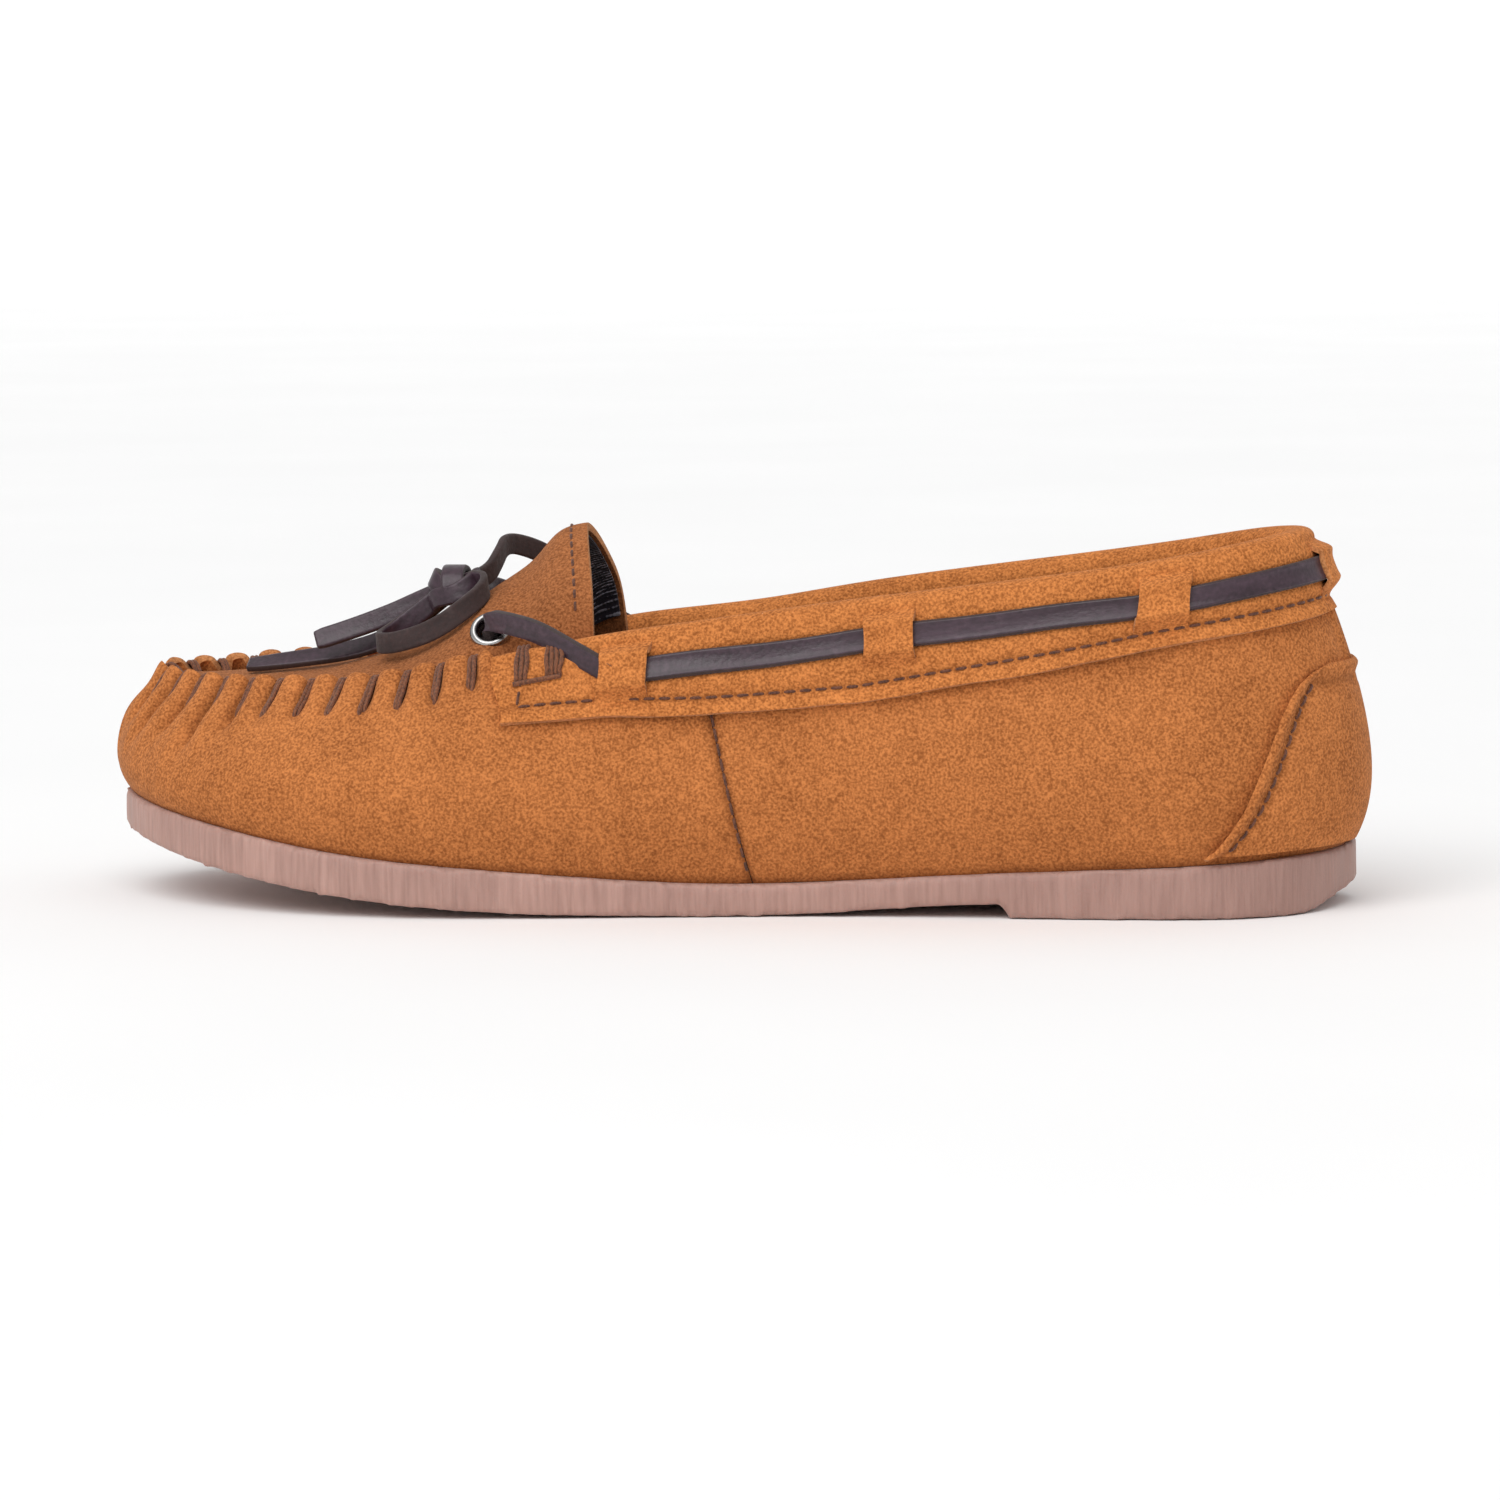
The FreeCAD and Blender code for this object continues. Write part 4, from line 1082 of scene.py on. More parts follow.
class Line:
    """A smooth line through points, read by share of its length."""

    def __init__(self, points: np.ndarray, fine: int = 240) -> None:
        """Join the points smoothly.

        Args:
            points: Rows of three numbers.
            fine: How many places to read; fewer points than this are joined by a spline.
        """
        points = np.asarray(points, float)
        if len(points) < 16:
            ends = (2 * points[0] - points[1], 2 * points[-1] - points[-2])
            padded = np.vstack([ends[0], points, ends[1]])
            spans = []
            part = np.linspace(0.0, 1.0, fine // (len(points) - 1) + 1)[:-1, None]
            for before, first, second, after in zip(padded, padded[1:], padded[2:], padded[3:]):
                spans.append(0.5 * (2 * first + (second - before) * part
                                    + (2 * before - 5 * first + 4 * second - after) * part ** 2
                                    + (3 * first - before - 3 * second + after) * part ** 3))
            points = np.vstack(spans + [points[-1:]])
        self.points = points
        self.run = run_of(points)
        self.length = self.run[-1]

    def at(self, share: np.ndarray) -> np.ndarray:
        """Points at shares of the length.

        Args:
            share: From 0 to 1.

        Returns:
            Rows of three numbers.
        """
        reach = np.clip(share, 0.0, 1.0) * self.length
        return np.stack([np.interp(reach, self.run, self.points[:, axis])
                         for axis in range(3)], axis=1)

    def heading(self, share: np.ndarray) -> np.ndarray:
        """Directions of travel at shares of the length."""
        return unit(self.at(np.minimum(share + 0.012, 1.0)) - self.at(np.maximum(share - 0.012, 0)))


def strap(name: str, line: Line, width: float, thick: float, finishes: Finishes,
          upright: Callable[[np.ndarray, np.ndarray], np.ndarray],
          grain_out: np.ndarray, narrow: Callable[[np.ndarray], np.ndarray] | None = None
          ) -> bpy.types.Object:
    """A flat leather lace along a line.

    Args:
        name: The piece's name.
        line: The middle of the lace.
        width: The lace's width.
        thick: Its thickness.
        finishes: The shoe's finishes.
        upright: Gives the width's direction for (share, heading).
        grain_out: Direction that the grain side starts out facing.
        narrow: Share of the width for each share of the length.

    Returns:
        The lace with a smooth grain side and a rough flesh side.
    """
    columns = max(int(line.length / (0.5 * MM)), 12)

    def place(along: np.ndarray, across: np.ndarray, out: float) -> np.ndarray:
        heading = line.heading(along)
        wide = upright(along, heading)
        wide = unit(wide - heading * np.sum(wide * heading, axis=1, keepdims=True))
        face = unit(np.cross(wide, heading))
        if np.dot(np.cross(wide[np.argmin(along)], heading[np.argmin(along)]), grain_out) < 0:
            face = -face
        span = width * (narrow(along) if narrow else np.ones_like(along))
        sway = 0.10 * MM * ripple(line.at(along), 9 * MM, 1.0)
        return (line.at(along) + wide * ((across - 0.5) * span)[:, None]
                + face * (out + thick / 2.0 + sway * (across - 0.5) * 2.0)[:, None])

    cut = Cut(columns, 6, thick, line.length, width, finishes.grain, finishes.flesh,
              finishes.flesh, 0.42 * MM)
    return lay_sheet(name, cut, place)


# ---------------------------------------------------------------- the upper

def seam_station(share: np.ndarray) -> np.ndarray:
    """Station of the side seam at a share of the wall's height."""
    return 3.65 + 0.48 * np.asarray(share, float)


def foot_shade(share: np.ndarray) -> np.ndarray:
    """Painted shade that darkens the wall toward the sole."""
    return 0.5 * (1.0 - ease(0.0, 0.05, share)) + 0.16 * (1.0 - ease(0.05, 0.45, share))


@dataclass
class Upper:
    """The gathered vamp, the two quarters and the heel counter."""

    last: Last
    finishes: Finishes
    threads: int = 24
    first_thread: float = 6.12
    groove: float = 1.9 * MM
    puff: float = 0.9 * MM
    scallop: float = 0.45 * MM
    uneven: float = 0.40 * MM
    lip: float = 0.9 * MM
    lip_reach: float = 2.2 * MM
    counter_edge: tuple[tuple[float, ...], ...] = (
        (0.03, 0.06, 0.11, 0.18, 0.26, 0.33, 0.41, 0.47, 0.52, 0.56, 0.59, 0.61),
        (1.37, 1.28, 1.20, 1.11, 1.04, 0.98, 0.91, 0.85, 0.78, 0.70, 0.59, 0.42))
    counter_top: float = 0.62
    counter_foot: float = 0.035
    counter_thick: float = 1.2 * MM

    def __post_init__(self) -> None:
        """Share the rim out between the threads."""
        self.marks, self.run = self.last.rim_run(3.9, self.last.rounds - 3.9)
        start = np.interp(self.first_thread, self.marks, self.run)
        final = np.interp(self.last.rounds - self.first_thread, self.marks, self.run)
        self.start = start
        self.pitch = (final - start) / (self.threads - 1)
        chance = np.random.default_rng(7)
        self.depths = chance.uniform(0.75, 1.25, self.threads + 2)
        self.lengths = chance.uniform(0.75, 1.25, self.threads + 2)
        self.leans = chance.uniform(-0.14, 0.14, self.threads + 2)

    def thread_station(self, index: int) -> float:
        """Station of a gathering thread."""
        return float(np.interp(self.start + self.pitch * index, self.run, self.marks))

    def toeward(self, station: np.ndarray) -> np.ndarray:
        """How near the toe a station lies, from 0 at the first thread to 1 at the toe."""
        return 1.0 - np.clip(np.abs(station - TOE_STATION) / 4.0, 0.0, 1.0)

    def lean(self, station: np.ndarray) -> np.ndarray:
        """How far the pleats lean for each metre down the wall."""
        side = np.clip((TOE_STATION - station) / 1.2, -1.0, 1.0)
        return side * (-0.16 + 0.36 * ease(0.55, 1.0, self.toeward(station)))

    def strength(self, station: np.ndarray) -> np.ndarray:
        """How strongly the wall is gathered."""
        return 0.62 + 0.62 * ease(0.0, 0.5, self.toeward(station))

    def gather(self, station: np.ndarray, depth: np.ndarray) -> tuple[np.ndarray, ...]:
        """Place within the pleats.

        Args:
            station: Places round the shoe.
            depth: Depths below the rim, in metres.

        Returns:
            Groove and puff from 0 to 1, and their reach down the wall.
        """
        toeward = self.toeward(station)
        run = np.interp(station, self.marks, self.run)
        place = (run - self.start - self.lean(station) * depth) / self.pitch
        index = np.clip(np.round(place), 0, self.threads - 1).astype(int)
        place = place - self.leans[index] * np.clip(depth / (10 * MM), 0, 1)
        part = place - index
        length = (7.5 + 8.0 * ease(0.3, 0.8, toeward)) * MM * self.lengths[index]
        fade = 1.0 - ease(0.20, 1.0, depth / length)
        width = 0.115 + 0.05 * np.clip(depth / length, 0, 1)
        near = hump(part, width) * self.depths[index]
        ends = (1.0 - ease(0.45, 0.75, -place)) * (1.0 - ease(0.45, 0.75, place - self.threads + 1))
        between = (1.0 - hump(part, 0.27)) * ends
        swell = hump(depth - 0.33 * length, 0.55 * length)
        return near * fade, between * swell, ends

    def vamp_spot(self, along: np.ndarray, across: np.ndarray) -> tuple[np.ndarray, np.ndarray]:
        """Station and share of a place on the vamp."""
        first = seam_station(across)
        station = first + along * (self.last.rounds - 2.0 * first)
        return station, across * self.last.panel_top(station)

    def vamp_place(self, along: np.ndarray, across: np.ndarray, out: float) -> np.ndarray:
        """Points of the vamp's outer face."""
        station, share = self.vamp_spot(along, across)
        plain = self.last.point(station, share)
        depth = self.last.curves[3].at(station)[:, 2] - plain[:, 2]
        groove, puff, ends = self.gather(station, depth)
        strength = self.strength(station)
        lip = self.lip * hump(depth, self.lip_reach) * ends
        push = lip + self.puff * strength * puff - self.groove * strength * groove
        inner = ease(0.02, 0.25, share)
        push = push * inner
        push = push + self.uneven * ripple(plain, 34 * MM, 2.0) * inner * ease(0, 9 * MM, depth)
        push = push + 0.22 * MM * ripple(plain, 11 * MM, 4.0) * inner * ease(0, 6 * MM, depth)
        seam = np.minimum(along, 1.0 - along) * 200 * MM
        push = push - 0.5 * MM * hump(seam, 1.4 * MM) * inner
        points = self.last.wall(station, share, push + out)
        crest = hump(depth, 1.6 * MM) * ends
        points[:, 2] += (0.5 * MM + self.scallop * (puff - 1.2 * groove)) * crest
        return points

    def vamp_shade(self, along: np.ndarray, across: np.ndarray) -> np.ndarray:
        """Painted shade of the vamp: in its pleat grooves, along its side seams and toward the
        sole.
        """
        station, share = self.vamp_spot(along, across)
        plain = self.last.point(station, share)
        depth = self.last.curves[3].at(station)[:, 2] - plain[:, 2]
        groove, _, _ = self.gather(station, depth)
        seam = np.minimum(along, 1.0 - along) * 200 * MM
        return np.clip(0.75 * groove + 0.5 * hump(seam, 0.7 * MM) + foot_shade(share), 0, 1)

    def quarter_place(self, side: Side) -> Callable[..., np.ndarray]:
        """The outer face of one quarter."""
        def place(along: np.ndarray, across: np.ndarray, out: float) -> np.ndarray:
            edge = 0.0075
            station = edge + along * (seam_station(across) - 2.0 * edge)
            share = across * self.last.panel_top(station)
            plain = self.last.point(side.value * station, share)
            inner = ease(0.02, 0.25, share)
            push = self.uneven * ripple(plain, 38 * MM, 5.0) * inner
            push = push + 0.20 * MM * ripple(plain, 12 * MM, 3.0) * inner
            seam = (1.0 - along) * 100 * MM
            push = push - 0.5 * MM * hump(seam, 1.4 * MM) * inner
            back = along * 100 * MM
            push = push + 0.9 * MM * hump(back - 1.3 * MM, 1.1 * MM) * inner
            return self.last.wall(side.value * station, share, push + out)
        return place

    @staticmethod
    def quarter_shade(along: np.ndarray, across: np.ndarray) -> np.ndarray:
        """Painted shade of a quarter: along its seams at either end and toward the sole."""
        seam = np.minimum(along, 1.0 - along) * 100 * MM
        return np.clip(0.6 * hump(seam, 0.7 * MM) + foot_shade(across), 0, 1)

    def counter_station(self, share: np.ndarray) -> np.ndarray:
        """Half width of the counter, in stations."""
        return np.interp(share, *self.counter_edge)

    def counter_spot(self, along: np.ndarray, across: np.ndarray) -> tuple[np.ndarray, ...]:
        """Share of the wall, and distance from the counter's edge in metres."""
        share = self.counter_foot + across * (0.985 * self.counter_top - self.counter_foot)
        side = np.minimum(along, 1.0 - along) * 2.0 * self.counter_station(share) * 26 * MM
        return share, np.minimum(side, (1.0 - across) * 34 * MM)

    def counter_place(self, along: np.ndarray, across: np.ndarray, out: float) -> np.ndarray:
        """Points of the counter's outer face."""
        share, rim = self.counter_spot(along, across)
        station = (2.0 * along - 1.0) * self.counter_station(share)
        plain = self.last.point(station, share)
        push = 0.9 * MM * hump(rim - 0.9 * MM, 1.0 * MM)
        push = push - 0.35 * MM * hump(rim - 3.2 * MM, 1.0 * MM)
        push = push + 0.25 * MM * ripple(plain, 30 * MM, 8.0) * ease(0, 6 * MM, rim)
        return self.last.wall(station, share, self.counter_thick + self.last.gap + push + out)

    def counter_shade(self, along: np.ndarray, across: np.ndarray) -> np.ndarray:
        """Painted shade of the counter: in the dip beside its raised edge."""
        _, rim = self.counter_spot(along, across)
        return 0.35 * hump(rim - 3.0 * MM, 0.8 * MM)

    def build(self) -> None:
        """Make the leather panels."""
        made = self.finishes
        cut = Cut(620, 60, self.last.leather, 0.330, 0.045, made.wall, made.wall, made.cut_edge)
        vamp = lay_sheet("vamp_leather", cut, self.vamp_place, self.vamp_shade)
        hand_over(vamp, "suede", "vamp_wrap")
        for side in Side:
            cut = Cut(110, 50, self.last.leather, 0.105, 0.055, made.wall, made.wall,
                      made.cut_edge)
            name = f"quarter_leather_{side.word}"
            piece = lay_sheet(name, cut, self.quarter_place(side), self.quarter_shade)
            hand_over(piece, "suede", f"quarter_{side.word}")
        cut = Cut(150, 70, self.counter_thick, 0.075, 0.034, made.wall, made.wall, made.cut_edge)
        piece = lay_sheet("counter_leather", cut, self.counter_place, self.counter_shade)
        hand_over(piece, "suede", "heel_counter")


@dataclass
class Collar:
    """The folded collar band, its lace, keeper loops and stitching."""

    last: Last
    finishes: Finishes
    lace_width: float = 4.2 * MM
    lace_thick: float = 1.8 * MM
    lace_drop: float = 8.5 * MM
    loop_width: float = 9.6 * MM
    seam_up: float = 3.2 * MM
    loop_stations: tuple[float, ...] = (4.72, 2.86, 1.62)

    def swell(self, station: np.ndarray, drop: np.ndarray) -> np.ndarray:
        """How far the band stands out beyond its plain fold.

        Args:
            station: Places round the shoe.
            drop: Depths below the rim.

        Returns:
            Distances in metres.
        """
        low = self.last.collar_drop(station)
        up = low - drop
        plain = self.last.point(station, self.last.share_at(station, np.maximum(drop, 0.0)))
        plump = 0.75 * MM * ease(3.4 * MM, 7.0 * MM, up)
        dent = -0.45 * MM * hump(up - self.seam_up, 0.9 * MM)
        flare = 0.30 * MM * hump(up, 1.2 * MM)
        wave = 0.28 * MM * ripple(plain, 17 * MM, 6.0) * ease(3.5 * MM, 8 * MM, up)
        pucker = 0.16 * MM * ripple(plain, 6 * MM, 9.0) * (1 - ease(2 * MM, 6 * MM, up))
        channel = -0.75 * MM * hump(drop - self.lace_drop, 2.4 * MM, 4)
        return plump + dent + flare + wave + pucker + channel

    def band_place(self, along: np.ndarray, across: np.ndarray, out: float) -> np.ndarray:
        """Points of the band: up the outside, over the rim and down the inside."""
        last = self.last
        out = out + last.collar_leather
        inside = -(last.leather + 1.0 * MM + last.lining + 4.0 * last.gap)
        middle = (last.gap + inside) / 2.0
        reach = (last.gap - inside) / 2.0
        slant = 0.17 * (ease(0.0, 0.5, across) - ease(0.62, 0.75, across))
        station = (last.collar_front + slant) * (2.0 * along - 1.0)
        low = last.collar_drop(station)
        wavy = 0.35 * MM * ripple(last.curves[3].at(station), 14 * MM, 3.0)
        drop = low + (last.roll_drop - low) * np.clip(across / 0.5, 0, 1)
        drop = drop + wavy * (1.0 - ease(0.0, 0.2, across))
        swell = self.swell(station, drop)
        outer = last.wall(station, last.share_at(station, drop), last.gap + out + swell)
        share = last.share_at(station, np.full_like(station, last.roll_drop))
        turn = np.pi * np.clip((across - 0.5) / 0.25, 0.0, 1.0)
        plump = 0.75 * MM + 0.28 * MM * ripple(last.point(station, share), 17 * MM, 6.0)
        plump = plump * (0.5 + 0.5 * np.cos(turn))
        side = last.facing(station, share)
        roll = last.wall(station, share, middle) + side * ((reach + out + plump)
                                                           * np.cos(turn))[:, None]
        roll[:, 2] += (last.roll_drop - last.collar_leather + out + 0.4 * MM) * np.sin(turn)
        deep = last.roll_drop + (last.collar_turn_in - last.roll_drop) * np.clip(
            (across - 0.75) / 0.25, 0, 1)
        inner = last.wall(station, last.share_at(station, deep), inside - out)
        points = np.where((across <= 0.5)[:, None], outer, roll)
        return np.where((across > 0.75)[:, None], inner, points)

    def band_shade(self, along: np.ndarray, across: np.ndarray) -> np.ndarray:
        """Painted shade of the band: in the dent along its stitch line."""
        station = self.last.collar_front * (2.0 * along - 1.0)
        low = self.last.collar_drop(station)
        up = (low - self.last.roll_drop) * np.clip(across / 0.5, 0, 1)
        return 0.40 * hump(up - self.seam_up, 0.6 * MM)

    def on_band(self, station: np.ndarray, drop: np.ndarray, out: float) -> np.ndarray:
        """Points above the band's outer face.

        Args:
            station: Places round the shoe.
            drop: Depths below the rim.
            out: Height above the band's leather.

        Returns:
            Rows of three numbers.
        """
        lift = self.last.gap * 2.0 + self.last.collar_leather + self.swell(station, drop)
        return self.last.wall(station, self.last.share_at(station, drop), lift + out)

    def lace_place(self, along: np.ndarray, across: np.ndarray, out: float) -> np.ndarray:
        """The lace that lies round the collar."""
        reach = self.loop_stations[0] + 0.2
        station = reach * (2.0 * along - 1.0)
        centre = self.last.curves[3].at(station)
        drop = self.lace_drop + 0.35 * MM * ripple(centre, 22 * MM, 11.0)
        drop = drop + self.lace_width * (0.5 - across)
        lift = self.lace_thick * 0.75 + 0.15 * MM * ripple(centre, 15 * MM, 12.0)
        tilt = 0.25 * MM * ripple(centre, 26 * MM, 13.0) * (across - 0.5) * 2.0
        return self.on_band(station, drop, lift + tilt + out)

    def loop_place(self, centre: float, lean: float) -> Callable[..., np.ndarray]:
        """One keeper loop that bridges over the lace."""
        step = 0.01
        ends = self.last.point(np.array([centre - step, centre + step]), np.array([0.8, 0.8]))
        half = self.loop_width / 2.0 * (2.0 * step) / float(np.linalg.norm(ends[1] - ends[0]))

        def place(along: np.ndarray, across: np.ndarray, out: float) -> np.ndarray:
            level = 2.0 * across - 1.0
            pinch = 1.0 + 0.10 * level ** 2
            station = centre + half * ((2.0 * along - 1.0) * pinch + lean * level)
            drop = self.lace_drop - 1.38 * self.lace_width * level
            bulge = 1.0 - ease(0.42, 1.0, np.abs(level))
            crown = 0.20 * MM * (1.0 - (2.0 * along - 1.0) ** 2) * bulge
            over = (self.lace_thick * 0.75 + 0.1 * MM) * bulge
            skin = self.last.collar_leather * 0.75 * bulge - 0.25 * MM * (1.0 - bulge)
            return self.on_band(station, drop, over + crown + skin + out)
        return place

    def build(self) -> None:
        """Make the band, its lace and its loops."""
        made = self.finishes
        cut = Cut(520, 96, self.last.collar_leather, 0.330, 0.034, made.collar, made.collar,
                  made.cut_edge)
        band = lay_sheet("collar_leather", cut, self.band_place, self.band_shade)
        hand_over(band, "collar_suede", "collar_band")
        cut = Cut(420, 8, self.lace_thick * 0.72, 0.270, self.lace_width, made.grain, made.flesh,
                  made.flesh, 0.40 * MM)
        hand_over(lay_sheet("collar_lace", cut, self.lace_place), "lace_leather",
                  "lace_collar_run")
        loops = []
        stations = [0.0]
        for station in self.loop_stations:
            stations += [station, -station]
        for index, station in enumerate(stations):
            lean = (0.05, -0.10, 0.08, 0.04, -0.05, -0.08, 0.10)[index]
            cut = Cut(22, 34, self.last.collar_leather * 0.8, self.loop_width, 0.013,
                      made.collar, made.collar, made.cut_edge, 0.30 * MM)
            loops.append(lay_sheet(f"loop_{index}", cut, self.loop_place(station, lean)))
        hand_over(join_pieces("collar_loops", loops), "collar_suede", "collar_lace_loops")


@dataclass
class Apron:
    """The apron over the forefoot, running on into the lined tongue."""

    last: Last
    finishes: Finishes
    front: float = 0.55
    tongue_end: float = 5.08
    tongue_back: float = 4.7 * MM
    toe: float = TOE_STATION
    eyelet_station: float = 6.0
    eyelet_side: float = 0.785
    eyelet_hole: float = 4.8 * MM
    eyelet_flange: float = 8.4 * MM
    eyelet_tilt: float = 0.45

    def __post_init__(self) -> None:
        """Find the ridge line and the front edge."""
        last = self.last
        self.ridge = profile([(share * last.sole_length, part * getattr(last, name))
                              for share, name, part in APRON_LINE])
        self.tuck = 2.0 * (last.collar_leather + last.lining) + last.leather + 0.8 * MM
        self.ends = self.edge(np.array([self.toe - self.front, self.toe + self.front]))

    def edge(self, station: np.ndarray) -> np.ndarray:
        """Where the apron meets the wall, or lies inside the collar."""
        last = self.last
        inside = ease(last.collar_front + 0.35, last.collar_front - 0.05, last.turn(station))
        out = -last.leather - last.gap - inside * (self.tuck - last.leather)
        drop = last.leather + inside * 1.5 * MM
        return last.wall(station, last.share_at(station, drop), out)

    def along(self, station: float) -> float:
        """Share of the apron's length at a station on its outer side."""
        return (self.toe - self.front - station) / (self.toe - self.front - self.tongue_end)

    def top(self, along: np.ndarray, side: np.ndarray) -> np.ndarray:
        """Points of the plain outer face.

        Args:
            along: From 0 at the toe to 1 at the tongue's end.
            side: From -1 at the outer edge to 1 at the inner edge.

        Returns:
            Rows of three numbers.
        """
        travel = self.front + (self.toe - self.front - self.tongue_end) * along
        left = self.edge(self.toe - travel)
        right = self.edge(self.toe + travel)
        share = ((side + 1.0) / 2.0)[:, None]
        points = left + (right - left) * share
        bow = self.edge(self.toe + side * self.front)
        chord = self.ends[0] + (self.ends[1] - self.ends[0]) * share
        points = points + (bow - chord) * ((1.0 - along) ** 6)[:, None]
        back = self.tongue_back * ease(0.62, 1.0, along)
        ridge = self.ridge((left[:, 0] + right[:, 0]) / 2.0 - back)
        rise = np.maximum(ridge - (left[:, 2] + right[:, 2]) / 2.0, 0.0)
        crown = 1.0 - 0.8 * np.abs(side) ** 1.9 - 0.2 * np.abs(side) ** 14
        peak = 1.0 - 0.62 * np.abs(side) ** 1.5 - 0.38 * np.abs(side) ** 12
        points[:, 2] += rise * (crown + (peak - crown) * ease(0.75, 1.0, along))
        points[:, 0] -= back * (1.0 - np.abs(side) ** 1.3)
        return points

    def place(self, along: np.ndarray, side: np.ndarray, out: np.ndarray) -> np.ndarray:
        """Points at a height above the plain outer face."""
        along = np.atleast_1d(np.asarray(along, float))
        side = np.atleast_1d(np.asarray(side, float))
        step = 0.01
        ahead = (self.top(np.minimum(along + step, 1.0), side)
                 - self.top(np.maximum(along - step, 0.0), side))
        across = (self.top(along, np.minimum(side + step, 1.0))
                  - self.top(along, np.maximum(side - step, -1.0)))
        normal = unit(np.cross(across, ahead))
        normal = np.where(normal[:, 2:3] < 0.0, -normal, normal)
        return self.top(along, side) + normal * np.asarray(out, float).reshape(-1, 1)

    def spot(self, side: Side) -> tuple[float, float]:
        """Where the side's eyelet is, as (along, side)."""
        return self.along(self.eyelet_station), -side.value * self.eyelet_side

    def stand(self, side: Side, tilt: float) -> tuple[np.ndarray, Quaternion]:
        """Foot and turn of something that stands in the side's eyelet hole.

        Args:
            side: Which side's hole.
            tilt: How far outward it leans.

        Returns:
            Its foot, and the turn that stands +Z up on the apron.
        """
        along, across = self.spot(side)
        low = self.place(along, across, 0.0)[0]
        high = self.place(along, across, MM)[0] + np.array([0.0, -tilt * side.value, 0.0]) * MM
        return low, Vector((0.0, 0.0, 1.0)).rotation_difference(Vector(high - low))

    def leather_place(self, along: np.ndarray, across: np.ndarray, out: float) -> np.ndarray:
        """Points of the apron's worked outer face."""
        side = 2.0 * across - 1.0
        plain = self.top(along, side)
        calm = ease(1.0, 0.80, np.abs(side)) * ease(0.0, 0.1, along)
        push = 0.35 * MM * ripple(plain, 30 * MM, 1.0) * calm
        push = push + 0.14 * MM * ripple(plain, 10 * MM, 7.0) * calm
        return self.place(along, side, push + out)

    @staticmethod
    def leather_shade(along: np.ndarray, across: np.ndarray) -> np.ndarray:
        """Painted shade of the apron: along its side edges, which tuck under the wall, and at its
        front edge.
        """
        edge = ease(0.93, 1.0, np.abs(2.0 * across - 1.0))
        front = 1.0 - ease(0.0, 0.02, along)
        return np.clip(0.55 * np.maximum(edge, front), 0.0, 1.0)

    def lining_place(self, along: np.ndarray, across: np.ndarray, out: float) -> np.ndarray:
        """Points of the tongue lining's face, which looks into the shoe."""
        first = self.along(7.48)
        start = first + along * (0.992 - first)
        room = (1.8 + 0.3) * MM * (1.0 - ease(0.87, 0.96, start))
        side = 0.94 * (2.0 * across - 1.0)
        puff = 0.25 * MM * ripple(self.top(start, side), 16 * MM, 5.0)
        depth = -self.last.leather - self.last.gap - self.last.lining - room
        return self.place(start, side, depth + puff - out)

    def make_eyelet(self, side: Side) -> bpy.types.Object:
        """A rolled ring, drawn out from a circle and laid on the apron."""
        start_alone()
        hole = self.eyelet_hole / 2.0
        flange = self.eyelet_flange / 2.0
        rows = ((hole, -2.4), (hole, -0.6), (hole * 1.02, 0.50), (hole * 1.14, 1.05),
                ((hole + flange) / 2.0, 1.35), (flange * 0.92, 1.05), (flange, 0.40),
                (flange * 1.01, -0.35))
        bpy.ops.mesh.primitive_circle_add(vertices=56, radius=rows[0][0], fill_type="NOTHING",
                                          location=(0.0, 0.0, rows[0][1] * MM))
        piece = bpy.context.active_object
        piece.name = f"eyelet_ring_{side.word}"
        bpy.ops.object.transform_apply(location=True, rotation=False, scale=False)
        bpy.ops.object.mode_set(mode="EDIT")
        bpy.ops.mesh.select_all(action="SELECT")
        for before, after in zip(rows, rows[1:]):
            bpy.ops.mesh.extrude_region_move(
                TRANSFORM_OT_translate={"value": (0.0, 0.0, (after[1] - before[1]) * MM)})
            grow = after[0] / before[0]
            bpy.ops.transform.resize(value=(grow, grow, 1.0))
        bpy.ops.mesh.select_all(action="SELECT")
        bpy.ops.mesh.normals_make_consistent(inside=False)
        bpy.ops.object.mode_set(mode="OBJECT")
        mesh = piece.data
        if np.sum(read_normals(mesh)[:, 2]) < 0.0:
            flip_faces(piece)
        apply_modifier(piece, "SOLIDIFY", thickness=0.25 * MM, offset=-1.0)
        apply_modifier(piece, "SUBSURF", levels=1, render_levels=1)
        low, turn = self.stand(side, self.eyelet_tilt)
        mesh.transform(Matrix.Translation(Vector(low)) @ turn.to_matrix().to_4x4())
        mesh.materials.append(self.finishes.nickel)
        smooth_by_angle(piece, 50)
        return piece

    def punch(self, piece: bpy.types.Object) -> None:
        """Cut the eyelets' holes in the apron."""
        punches = []
        for side in Side:
            low, turn = self.stand(side, 0.0)
            start_alone()
            bpy.ops.mesh.primitive_cylinder_add(vertices=40, radius=self.eyelet_hole / 2 + 0.4 * MM,
                                                depth=8 * MM, location=low,
                                                rotation=turn.to_euler())
            punches.append(bpy.context.active_object)
        tool = join_pieces("punch", punches)
        apply_modifier(piece, "BOOLEAN", operation="DIFFERENCE", object=tool, solver="EXACT")
        bpy.data.objects.remove(tool)

    def build(self) -> None:
        """Make the apron, the tongue's lining and the eyelets."""
        made = self.finishes
